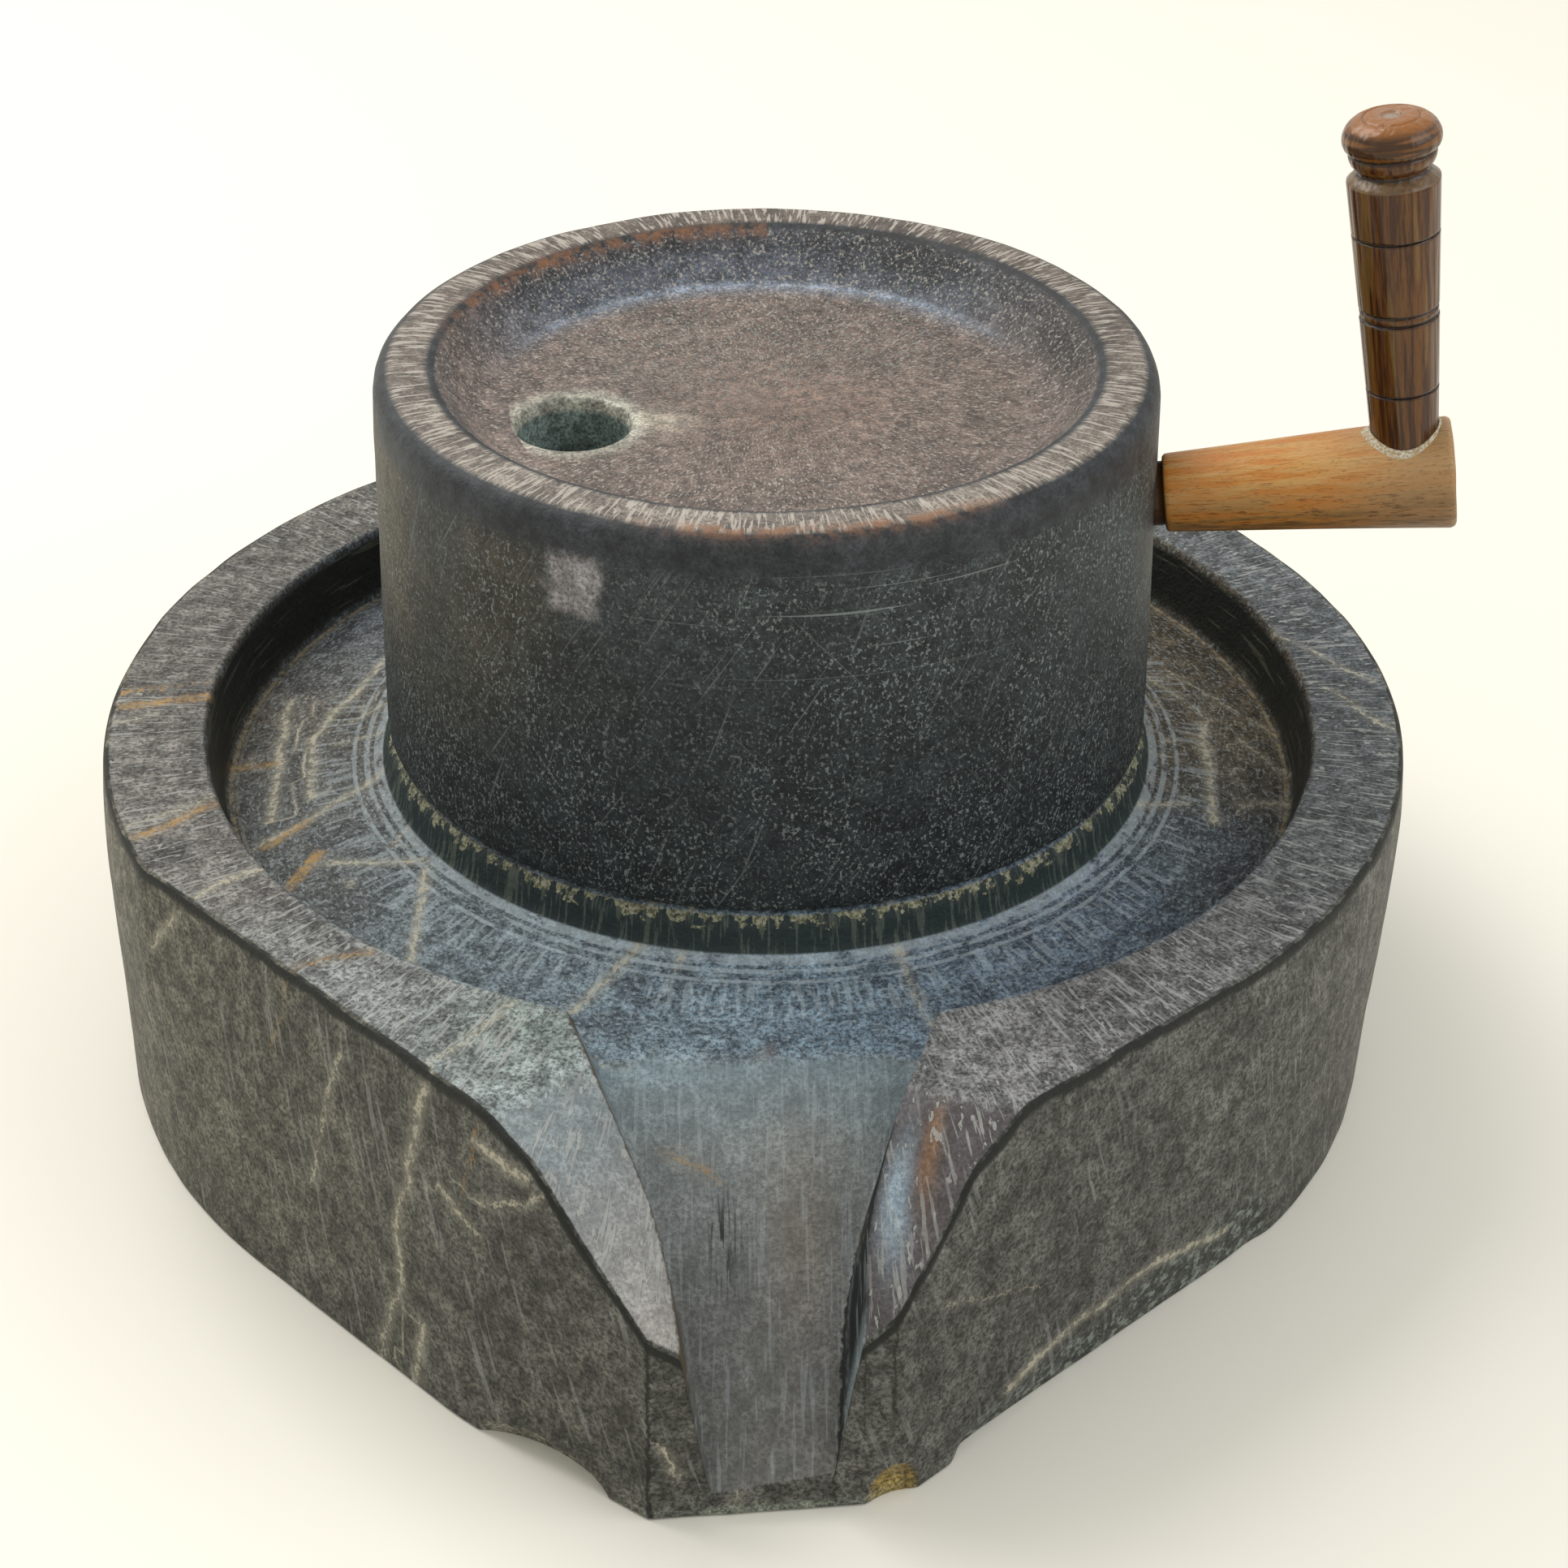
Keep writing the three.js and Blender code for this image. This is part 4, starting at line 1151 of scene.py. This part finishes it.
def base_material(look):
    """Dressed grey stone with pecks, wear rings, veins, a black edge line and dark walls."""
    finish = Finish("quern_base_stone")
    place, around, reach = stone_vectors(finish)
    height = finish.add("ShaderNodeSeparateXYZ", {0: place}).outputs["Z"]
    on_flank = finish.field("on_flank")
    cloud = finish.noise(place, 0.05, 3, 0.6)
    blotch = finish.noise(place, 0.2, 4, 0.62)
    grain = finish.noise(place, 0.95, 4, 0.72)
    shade = finish.product(finish.between(cloud, 0.3, 0.7, 0.78, 1.2), finish.between(blotch, 0.34, 0.66, 0.62, 1.3),
                           finish.between(grain, 0.36, 0.64, 0.36, 1.55))
    smooth = finish.math("MAXIMUM", finish.field("in_channel"), finish.field("on_wing"))
    swing = finish.math("MULTIPLY", finish.math("SUBTRACT", shade, 1.0), finish.between(smooth, 0, 1, 1, 0.42))
    colour = finish.scaled(finish.field("tint", "Vector"), finish.math("MULTIPLY", finish.math("ADD", swing, 1.0), 0.84))
    mottle = finish.product(finish.between(finish.noise(place, 0.3, 3, 0.7), 0.56, 0.66), on_flank)
    colour = finish.scaled(colour, finish.between(mottle, 0, 1, 1, 0.6))

    marks = base_marks(finish, place, around, reach, height)
    for name, share, tone in (("dash", 0.66, look.peck), ("peck", 0.78, look.frost), ("comb", 0.65, look.frost),
                              ("ring", 1.0, look.frost), ("streak", 0.42, look.peck), ("rub", 0.17, look.frost)):
        colour = finish.mix(finish.math("MULTIPLY", marks[name], share), colour, tone)
    colour = finish.mix(finish.math("MULTIPLY", marks["brush"], 0.9), colour, look.dark)
    crumbs = finish.product(finish.field("spalled"), finish.between(finish.noise(place, 0.4, 4, 0.7), 0.52, 0.6))
    colour = finish.mix(finish.math("MULTIPLY", crumbs, 0.5), colour, (0.34, 0.40, 0.34))

    wobble = finish.between(finish.noise(place, 0.7, 4, 0.7), 0.2, 0.8, -1.3, 1.3)
    broken = finish.between(finish.noise(place, 0.38, 4, 0.7), 0.40, 0.56, 0.05, 1)
    for name, tone in (("cream", look.cream), ("ochre", look.ochre)):
        halo = finish.product(finish.between(finish.field(f"{name}_width"), 0.2, 0.8),
                              finish.ring(finish.field(f"{name}_offset"), 0, 0.5, 3.0), 0.22)
        colour = finish.mix(halo, colour, tone)
        share = finish.product(vein_share(finish, name, wobble), broken, 0.9)
        colour = finish.mix(share, colour, tone)
    small = finish.between(finish.noise(place, 0.5, 2, 0.6), 0.2, 0.8, -0.6, 0.6)
    colour = finish.mix(finish.math("MULTIPLY", vein_share(finish, "brown", small), 0.8), colour, (0.085, 0.06, 0.035))

    dark = finish.field("dark")
    out = finish.field("out")
    threads = finish.noise(ring_vector(finish, around, height, 0.035, 0.8), 1.0, 2, 0.5)
    threads = finish.between(threads, 0.60, 0.66)
    colour = finish.mix(dark, colour, finish.mix(finish.math("MULTIPLY", threads, 0.5), look.dark, (0.13, 0.13, 0.09)))
    for middle, half, tone, share in ((143.8, 0.35, (0.36, 0.29, 0.16), 0.6), (142.2, 0.2, (0.30, 0.27, 0.2), 0.4)):
        line = finish.product(finish.ring(out, middle, half, 0.5), finish.field("in_trough"), broken, share)
        colour = finish.mix(line, colour, tone)

    wall = finish.product(finish.ring(reach, 102.4, 1.5, 0.5), finish.between(height, 95.4, 95.0))
    ragged = finish.noise(ring_vector(finish, around, height, 0.2, 0.32), 1.0, 3, 0.65)
    chips = finish.between(finish.math("ADD", finish.math("MULTIPLY", height, 0.06), ragged), 6.08, 6.12)
    upright = finish.between(finish.noise(ring_vector(finish, around, height, 0.5, 0.08), 1.0, 3, 0.6), 0.52, 0.62)
    band = finish.mix(finish.math("MULTIPLY", upright, 0.5), (0.022, 0.034, 0.034), (0.13, 0.15, 0.12))
    band = finish.mix(chips, band, finish.mix(finish.between(grain, 0.4, 0.6), (0.10, 0.10, 0.055), (0.34, 0.34, 0.24)))
    colour = finish.mix(wall, colour, band)

    colour = finish.mix(finish.math("MULTIPLY", vein_share(finish, "seam", small), 0.9), colour, look.dark)
    wander = finish.between(finish.noise(place, 0.08, 3, 0.6), 0.25, 0.75, -0.9, 0.9)
    run = finish.math("ADD", finish.field("edge_run"), wander)
    wide = look.edge_line / MM
    line = finish.product(finish.between(run, 0.0, 0.9, 1, 0), finish.between(run, -wide - 1.3, -wide + 0.4),
                          finish.field("lined"), 0.96)
    colour = finish.mix(line, colour, look.dark)
    finish.set("Base Color", colour)
    finish.set("Specular IOR Level", 0.25)
    finish.set("Roughness", finish.between(dark, 0, 1, look.roughness, 0.35))
    struck = finish.math("ADD", marks["dash"], marks["peck"], True)
    finish.set("Normal", finish.bump(struck, 0.2, finish.bump(blotch, 0.7, finish.bump(grain, 0.4))))
    return finish.material


def runner_material(look):
    """Dark flecked stone, paler on its pecked rim and in its dish."""
    finish = Finish("quern_runner_stone")
    place, around, reach = stone_vectors(finish)
    height = finish.add("ShaderNodeSeparateXYZ", {0: place}).outputs["Z"]
    side, rim, dish = (finish.field(name) for name in ("on_side", "on_rim", "in_dish"))
    cloud = finish.noise(place, 0.06, 3, 0.6)
    blotch = finish.noise(place, 0.26, 4, 0.65)
    grain = finish.noise(place, 1.15, 4, 0.72)
    shade = finish.product(finish.between(cloud, 0.3, 0.7, 0.75, 1.25), finish.between(blotch, 0.34, 0.66, 0.62, 1.35),
                           finish.between(grain, 0.3, 0.68, 0.4, 1.6))
    colour = finish.scaled(finish.field("tint", "Vector"), shade)

    flat = finish.stretched(place, (1.15, 1.15, 0.9))
    fleck = finish.noise(flat, 1.0, 3, 0.72)
    flecks = finish.product(finish.between(fleck, 0.555, 0.60), finish.field("fleck"))
    colour = finish.mix(finish.math("MULTIPLY", flecks, 0.72), colour, look.fleck)
    strokes = finish.noise(ring_vector(finish, around, finish.math("ADD", reach, height), 0.55, 0.75), 1.0, 3, 0.6)
    strokes = finish.product(finish.between(strokes, 0.57, 0.62), dish)
    colour = finish.mix(finish.math("MULTIPLY", strokes, 0.62), colour, look.peck)
    dash = finish.noise(ring_vector(finish, around, reach, 0.72, 0.13), 1.0, 2, 0.5)
    dashes = finish.product(finish.between(dash, 0.525, 0.575), rim)
    colour = finish.mix(finish.math("MULTIPLY", dashes, 0.68), colour, look.peck)
    rust = finish.product(finish.field("rust"), finish.between(blotch, 0.36, 0.6), 0.85)
    colour = finish.mix(rust, colour, look.rust)

    for slope, scale, seed, limit, share in ((-0.0062, 1.1, 0, 0.70, 0.32), (-0.0035, 0.9, 40, 0.72, 0.25),
                                             (0.009, 1.0, 90, 0.74, 0.25)):
        twisted = finish.add("ShaderNodeVectorRotate",
                             {"Vector": around, "Angle": finish.math("MULTIPLY", height, slope)},
                             rotation_type="Z_AXIS").outputs[0]
        shifted = finish.math("ADD", height, float(seed))
        scratch = finish.noise(ring_vector(finish, twisted, shifted, scale, 0.035), 1.0, 1, 0.4)
        scratch = finish.product(finish.between(scratch, limit, limit + 0.03), side, share)
        colour = finish.mix(scratch, colour, look.fleck)
    level = finish.noise(ring_vector(finish, around, height, 0.008, 0.9), 1.0, 1, 0.4)
    level = finish.product(finish.between(level, 0.665, 0.69), side, finish.between(height, 155, 172),
                           finish.between(finish.field("turned"), 0.3, 0.8), 0.6)
    colour = finish.mix(level, colour, look.fleck)
    finish.set("Base Color", colour)
    finish.set("Specular IOR Level", 0.35)
    finish.set("Roughness", finish.between(grain, 0.3, 0.7, look.roughness - 0.1, look.roughness + 0.12))
    marks = finish.math("ADD", flecks, dashes, True)
    finish.set("Normal", finish.bump(marks, 0.12, finish.bump(blotch, 0.35, finish.bump(grain, 0.3))))
    return finish.material


def arm_material(look):
    """Turned hardwood: rusty orange on top near the stone, with painted shade and dark dashes on its underside, greyed
    at its outer end.
    """
    finish = Finish("quern_arm_wood")
    local = finish.field("local", "Vector")
    parts = finish.add("ShaderNodeSeparateXYZ", {0: local}).outputs
    streak = finish.noise(finish.stretched(local, (0.45, 0.45, 0.035)), 1.0, 4, 0.62)
    line = finish.noise(finish.stretched(local, (1.5, 1.5, 0.22)), 1.0, 3, 0.6)
    pore = finish.noise(finish.stretched(local, (3.0, 3.0, 0.5)), 1.0, 2, 0.6)
    colour = finish.mix(finish.between(streak, 0.36, 0.62), look.arm_light, look.arm_tan)
    outer = finish.product(finish.between(parts["Z"], 34, 66), 0.7)
    colour = finish.mix(outer, colour, look.arm_end)
    # Painted shade: the arm's underside is darkened towards arm_dark, broken by the streaks, and the dark dashes are
    # weighted to the underside too.
    low = finish.between(parts["X"], 7, -8)
    underside_shade = finish.product(low, finish.between(streak, 0.42, 0.6, 0.35, 1), 0.75)
    colour = finish.mix(underside_shade, colour, look.arm_dark)
    lower = finish.between(parts["X"], 8, -6, 0.25, 1)
    dashes = finish.product(finish.between(line, 0.56, 0.64), lower, 0.7)
    colour = finish.mix(dashes, colour, look.arm_dark)
    fine = finish.product(finish.between(pore, 0.58, 0.66), 0.4)
    colour = finish.mix(fine, colour, look.arm_dark)
    colour = finish.mix(finish.product(finish.between(parts["Z"], 0.9, 0.1), 0.9), colour, (0.03, 0.012, 0.005))
    finish.set("Base Color", colour)
    finish.set("Roughness", 0.38)
    finish.set("Specular IOR Level", 0.35)
    finish.set("Normal", finish.bump(line, 0.2, finish.bump(streak, 0.4)))
    return finish.material


def grip_material(look):
    """Dark varnished wood with long tool facets down its length, some painted with an olive highlight, rings of grain
    on its knob, and a painted highlight band on the bevel under the knob.
    """
    finish = Finish("quern_grip_wood")
    local = finish.field("local", "Vector")
    parts = finish.add("ShaderNodeSeparateXYZ", {0: local}).outputs
    facet = finish.noise(finish.stretched(local, (0.012, 0.42, 0.42)), 1.0, 1, 0.5)
    streak = finish.noise(finish.stretched(local, (0.03, 0.75, 0.75)), 1.0, 4, 0.65)
    fine = finish.noise(finish.stretched(local, (0.12, 2.2, 2.2)), 1.0, 3, 0.6)
    colour = finish.mix(finish.between(streak, 0.40, 0.60), look.grip_dark, look.grip_light)
    # The planed facets, painted in an olive highlight tone.
    colour = finish.mix(finish.product(finish.between(facet, 0.56, 0.62), 0.55), colour, look.grip_olive)
    colour = finish.mix(finish.product(finish.between(fine, 0.56, 0.64), 0.5), colour, look.grip_dark)
    rings = finish.noise(finish.stretched(local, (0.9, 0.06, 0.06)), 1.0, 3, 0.6)
    knob = finish.mix(finish.between(rings, 0.42, 0.58), (0.05, 0.02, 0.004), (0.17, 0.068, 0.014))
    knob = finish.mix(finish.product(finish.between(parts["X"], 93, 95.5), 0.8), knob, (0.30, 0.115, 0.026))
    knob = finish.mix(finish.product(finish.field("hub"), 0.9), knob, (0.30, 0.28, 0.24))
    colour = finish.mix(finish.between(parts["X"], 87.5, 89.5), colour, knob)
    # Painted highlight: a light-brown band on the bevel under the knob.
    colour = finish.mix(finish.product(finish.ring(parts["X"], 81.2, 0.9, 0.5), 0.4), colour, (0.22, 0.16, 0.09))
    colour = finish.mix(finish.field("groove"), colour, (0.006, 0.003, 0.002))
    finish.set("Base Color", colour)
    finish.set("Roughness", 0.24)
    finish.set("Specular IOR Level", 0.35)
    finish.set("Coat Weight", 0.15)
    finish.set("Coat Roughness", 0.08)
    finish.set("Normal", finish.bump(fine, 0.06, finish.bump(facet, 0.8)))
    return finish.material


def glue_material(look):
    """Dried pale glue."""
    finish = Finish("quern_glue")
    place = finish.place()
    crumb = finish.noise(place, 1.5, 4, 0.65)
    stained = finish.mix(1.0, look.glue, (0.62, 0.45, 0.26), "MULTIPLY")
    finish.set("Base Color", finish.mix(finish.between(crumb, 0.4, 0.62), stained, look.glue))
    finish.set("Roughness", 0.55)
    finish.set("Normal", finish.bump(crumb, 0.4))
    return finish.material


class QUERN_OT_add_base(bpy.types.Operator):
    """Add the trough base: its top, trough, spout and flanks as one worked surface"""
    bl_idname = "quern.add_base"
    bl_label = "Add base"

    def execute(self, context):
        look = context.scene.quern_base
        rows, parts, corner = base_rows()
        rows, broken = break_edges(rows, parts)
        outward = grid_normals(rows)
        wander = lumps(rows, 26, 51) * 0.6 + lumps(rows, 9, 52) * 0.4
        flat = part_mask(parts, ("bed", "under", "foot"), rows.shape[1])
        amount = wander * (look.wobble / MM) * (1 - flat)
        fields = base_fields(rows, parts, corner, broken)
        rows = rows + outward * amount[..., None]
        base = grid_object("quern_base", rows, ((0, 0, 95.3), (0, 0, 0)), fields=fields,
                           mapping=surface_map(rows, 150))
        base.data.materials.append(base_material(look))
        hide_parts("bedstone")
        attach(base, "base")
        return {"FINISHED"}


class QUERN_OT_add_runner(bpy.types.Operator):
    """Add the runner stone: dished on top, with its feed hole and the handle's socket"""
    bl_idname = "quern.add_runner"
    bl_label = "Add runner"

    def execute(self, context):
        look = context.scene.quern_runner
        rows, parts = runner_rows()
        width = rows.shape[1]
        fields = runner_fields(rows, parts)
        outward = grid_normals(rows)
        fixed = part_mask(parts, ("under", "foot", "hole"), width)
        wander = (lumps(rows, 22, 53) * 0.6 + lumps(rows, 7, 54) * 0.4) * (look.wobble / MM)
        rows = rows + outward * (wander * (1 - fixed))[..., None]
        runner = grid_object("quern_runner", rows, wrap_rows=True, fields=fields)
        runner.data.materials.append(runner_material(look))
        arm = arm_matrix()
        socket = turned_rows(refined([(8.5, -34.3), (8.5, 6)], 3), 64)
        socket = placed(socket, arm)
        ends = placed(np.array([(0, 0, 6), (0, 0, -34.3)], float), arm)
        carve(runner, grid_object("socket", socket, (ends[0], ends[1])))
        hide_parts("runner_stone")
        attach(runner, "runner")
        return {"FINISHED"}


class QUERN_OT_add_arm(bpy.types.Operator):
    """Add the wooden arm: a tenon in the stone and a tapered outer length with a mortise for the grip"""
    bl_idname = "quern.add_arm"
    bl_label = "Add arm"

    def execute(self, context):
        look = context.scene.quern_handle
        outline = [(8.2, -ARM["tenon"]), (8.2, 0), (ARM["root"] - 0.6, 0), (ARM["root"], 0.6)]
        outline += [(ARM["root"] + (ARM["end"] - ARM["root"]) * s, 0.6 + (ARM["length"] - 2.2) * s)
                    for s in np.linspace(0, 1, 60)[1:]]
        outline += [(13.95, 71.9), (13.6, 72.5), (12.9, 72.85), (12.2, 72.9), (8, 72.9), (4, 72.9)]
        rows = turned_rows(refined(outline, 1.6), 160)
        outward = grid_normals(rows)
        shaved = lumps(rows * np.array([1, 1, 0.15]), 6, 81) * 0.16
        rows = rows + outward * (shaved * (rows[..., 2] > 1))[..., None]
        arm = arm_matrix()
        made = grid_object("quern_arm", placed(rows, arm),
                           (placed(np.array([0, 0, 72.9]), arm), placed(np.array([0, 0, -34.0]), arm)))
        made.data.materials.append(arm_material(look))
        hole = turned_rows(refined([(MORTISE["radius"], MORTISE["floor"]), (MORTISE["radius"], 20)], 4), 64)
        hole = hole[..., [2, 1, 0]] * np.array([1, -1, 1]) + np.array([0, 0, GRIP_REACH])
        ends = np.array([(20, 0, GRIP_REACH), (MORTISE["floor"], 0, GRIP_REACH)], float)
        carve(made, grid_object("mortise", placed(hole, arm), placed(ends, arm)))
        spots = np.zeros(len(made.data.vertices) * 3)
        made.data.vertices.foreach_get("co", spots)
        own = placed(spots.reshape(-1, 3) / MM, arm.inverted())
        grain = made.data.attributes.new("local", "FLOAT_VECTOR", "POINT")
        grain.data.foreach_set("vector", own.astype(np.float32).ravel())
        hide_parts("handle_arm")
        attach(made, "runner")
        return {"FINISHED"}


class QUERN_OT_add_grip(bpy.types.Operator):
    """Add the turned upright grip with its grooves and mushroom knob"""
    bl_idname = "quern.add_grip"
    bl_label = "Add grip"

    def execute(self, context):
        look = context.scene.quern_handle
        outline = refined(GRIP_OUTLINE, 0.7)
        rows = turned_rows(outline, 144)
        height = rows[..., 2]
        grooves = np.zeros(height.shape)
        for middle in (25.4, 44.8, 47.2, 66.7, 82.6, 87.45):
            grooves = np.maximum(grooves, np.exp(-((height - middle) / 0.45) ** 2))
        facets = lumps(rows * np.array([1, 1, 0.02]), 4.2, 91) * 0.14
        shaft = (height > 7) & (height < 80)
        outward = grid_normals(rows)
        rows = rows + outward * (facets * shaft)[..., None]
        local = rows[..., [2, 1, 0]] * np.array([1, -1, 1]) + np.array([0, 0, GRIP_REACH])
        arm = arm_matrix()
        ends = np.array([(95.6, 0, GRIP_REACH), (6.3, 0, GRIP_REACH)], float)
        hub = hump(np.hypot(rows[..., 0], rows[..., 1]), 0, 2.2) * (height > 94)
        made = grid_object("quern_grip", placed(local, arm), placed(ends, arm),
                           fields={"local": local, "groove": grooves, "hub": hub})
        made.data.materials.append(grip_material(look))
        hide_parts("handle_grip")
        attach(made, "runner")
        return {"FINISHED"}


class QUERN_OT_add_glue(bpy.types.Operator):
    """Add the uneven collar of dried glue where the grip enters the arm"""
    bl_idname = "quern.add_glue"
    bl_label = "Add glue"

    def execute(self, context):
        look = context.scene.quern_handle
        turn = np.linspace(-math.pi, math.pi, 144, endpoint=False)
        ring = np.stack([np.sin(turn), -np.cos(turn)], 1)
        uneven = lumps(np.stack([ring[:, 0], ring[:, 1], turn * 0], 1), 0.35, 97)
        spread = (look.glue_width / MM) * (0.75 + 0.3 * uneven - 0.4 * ring[:, 0])

        def on_arm(radius):
            spot = ring * np.broadcast_to(radius, turn.shape)[:, None]
            arm_radius = ARM["root"] + (ARM["end"] - ARM["root"]) * (GRIP_REACH + spot[:, 0]) / ARM["length"]
            return spot, np.sqrt(arm_radius ** 2 - spot[:, 1] ** 2)

        rows = []
        for share, lift in ((0.02, -0.8), (0.02, 0.0), (0.02, 1.1), (0.25, 0.85), (0.55, 0.5), (0.85, 0.2),
                            (1.0, -0.1), (0.9, -0.8)):
            spot, height = on_arm(8.62 + spread * share)
            bead = np.where(lift > 0, lift * (0.55 + spread / 4), lift)
            rows.append(np.stack([height + bead, spot[:, 1], spot[:, 0] + GRIP_REACH], 1))
        rows = np.array(rows)[:, ::-1]
        made = grid_object("quern_glue", placed(rows, arm_matrix()), wrap_rows=True)
        made.data.materials.append(glue_material(look))
        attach(made, "runner")
        return {"FINISHED"}


class QUERN_OT_set_stage(bpy.types.Operator):
    """Set up the floor, the surroundings, the lamps and the camera"""
    bl_idname = "quern.set_stage"
    bl_label = "Set stage"

    def execute(self, context):
        look = context.scene.quern_stage
        scene = context.scene
        mesh = bpy.data.meshes.new("stage_floor")
        turn = np.linspace(0, 2 * math.pi, 96, endpoint=False)
        points = np.stack([6 * np.cos(turn), 6 * np.sin(turn), np.zeros(96)], 1)
        mesh.from_pydata(points.tolist(), [], [list(range(96))])
        floor = bpy.data.objects.new("stage_floor", mesh)
        scene.collection.objects.link(floor)
        finish = Finish("stage_floor")
        finish.set("Base Color", (*look.floor, 1))
        finish.set("Roughness", 0.45)
        finish.set("Specular IOR Level", 0.3)
        mesh.materials.append(finish.material)

        world = bpy.data.worlds.new("stage_surroundings")
        world.use_nodes = True
        sky = world.node_tree.nodes["Background"]
        sky.inputs["Color"].default_value = (*look.sky, 1)
        sky.inputs["Strength"].default_value = look.sky_strength
        scene.world = world

        for name, spot, size, power, tint in (
                ("stage_key", (-0.9, 0.7, 1.6), 1.3, look.key_power, (1, 0.98, 0.94)),
                ("stage_fill", (1.3, -0.5, 1.2), 1.2, look.fill_power, (0.93, 0.97, 1))):
            data = bpy.data.lights.new(name, "AREA")
            data.energy, data.size, data.color = power, size, tint
            lamp = bpy.data.objects.new(name, data)
            lamp.location = spot
            aim = Vector((0, -0.02, 0.08)) - lamp.location
            lamp.rotation_euler = aim.to_track_quat("-Z", "Y").to_euler()
            scene.collection.objects.link(lamp)

        pitch, yaw, roll = (math.radians(a) for a in (32.5575, 0.62, 0.3675))
        ahead = Vector((math.sin(yaw) * math.cos(pitch), math.cos(yaw) * math.cos(pitch), -math.sin(pitch)))
        level = ahead.cross(Vector((0, 0, 1))).normalized()
        upright = level.cross(ahead)
        right = level * math.cos(roll) + upright * math.sin(roll)
        up = upright * math.cos(roll) - level * math.sin(roll)
        spot = Vector((-0.0030, -0.74203, 0.54229))
        lens = bpy.data.cameras.new("stage_camera")
        lens.lens, lens.sensor_width, lens.clip_start = 73.15, 36, 0.01
        camera = bpy.data.objects.new("stage_camera", lens)
        camera.matrix_world = Matrix([(right[i], up[i], -ahead[i], spot[i]) for i in range(3)] + [(0, 0, 0, 1)])
        scene.collection.objects.link(camera)
        scene.camera = camera
        scene.view_settings.view_transform = "Standard"
        return {"FINISHED"}


PIECES = (QUERN_OT_add_base, QUERN_OT_add_runner, QUERN_OT_add_arm, QUERN_OT_add_grip, QUERN_OT_add_glue)
SETTINGS = {"quern_base": QuernBase, "quern_runner": QuernRunner, "quern_handle": QuernHandle,
            "quern_stage": QuernStage}


class QUERN_PT_panel(bpy.types.Panel):
    """Lists the quern's pieces and stage"""
    bl_idname = "QUERN_PT_panel"
    bl_label = "Rotary Quern"
    bl_space_type = "VIEW_3D"
    bl_region_type = "UI"
    bl_category = "Quern"

    def draw(self, context):
        for piece in (*PIECES, QUERN_OT_set_stage):
            self.layout.operator(piece.bl_idname)
        for name, group in SETTINGS.items():
            box = self.layout.box()
            box.label(text=group.__doc__)
            for key in group.__annotations__:
                box.prop(getattr(context.scene, name), key)


CLASSES = (*SETTINGS.values(), *PIECES, QUERN_OT_set_stage, QUERN_PT_panel)


def register():
    for item in CLASSES:
        bpy.utils.register_class(item)
    for name, group in SETTINGS.items():
        setattr(bpy.types.Scene, name, bpy.props.PointerProperty(type=group))


def unregister():
    for name in SETTINGS:
        delattr(bpy.types.Scene, name)
    for item in reversed(CLASSES):
        bpy.utils.unregister_class(item)


def main():
    register()
    bpy.ops.quern.add_base()
    bpy.ops.quern.add_runner()
    bpy.ops.quern.add_arm()
    bpy.ops.quern.add_grip()
    bpy.ops.quern.add_glue()
    bpy.ops.quern.set_stage()


if __name__ == "__main__":
    main()
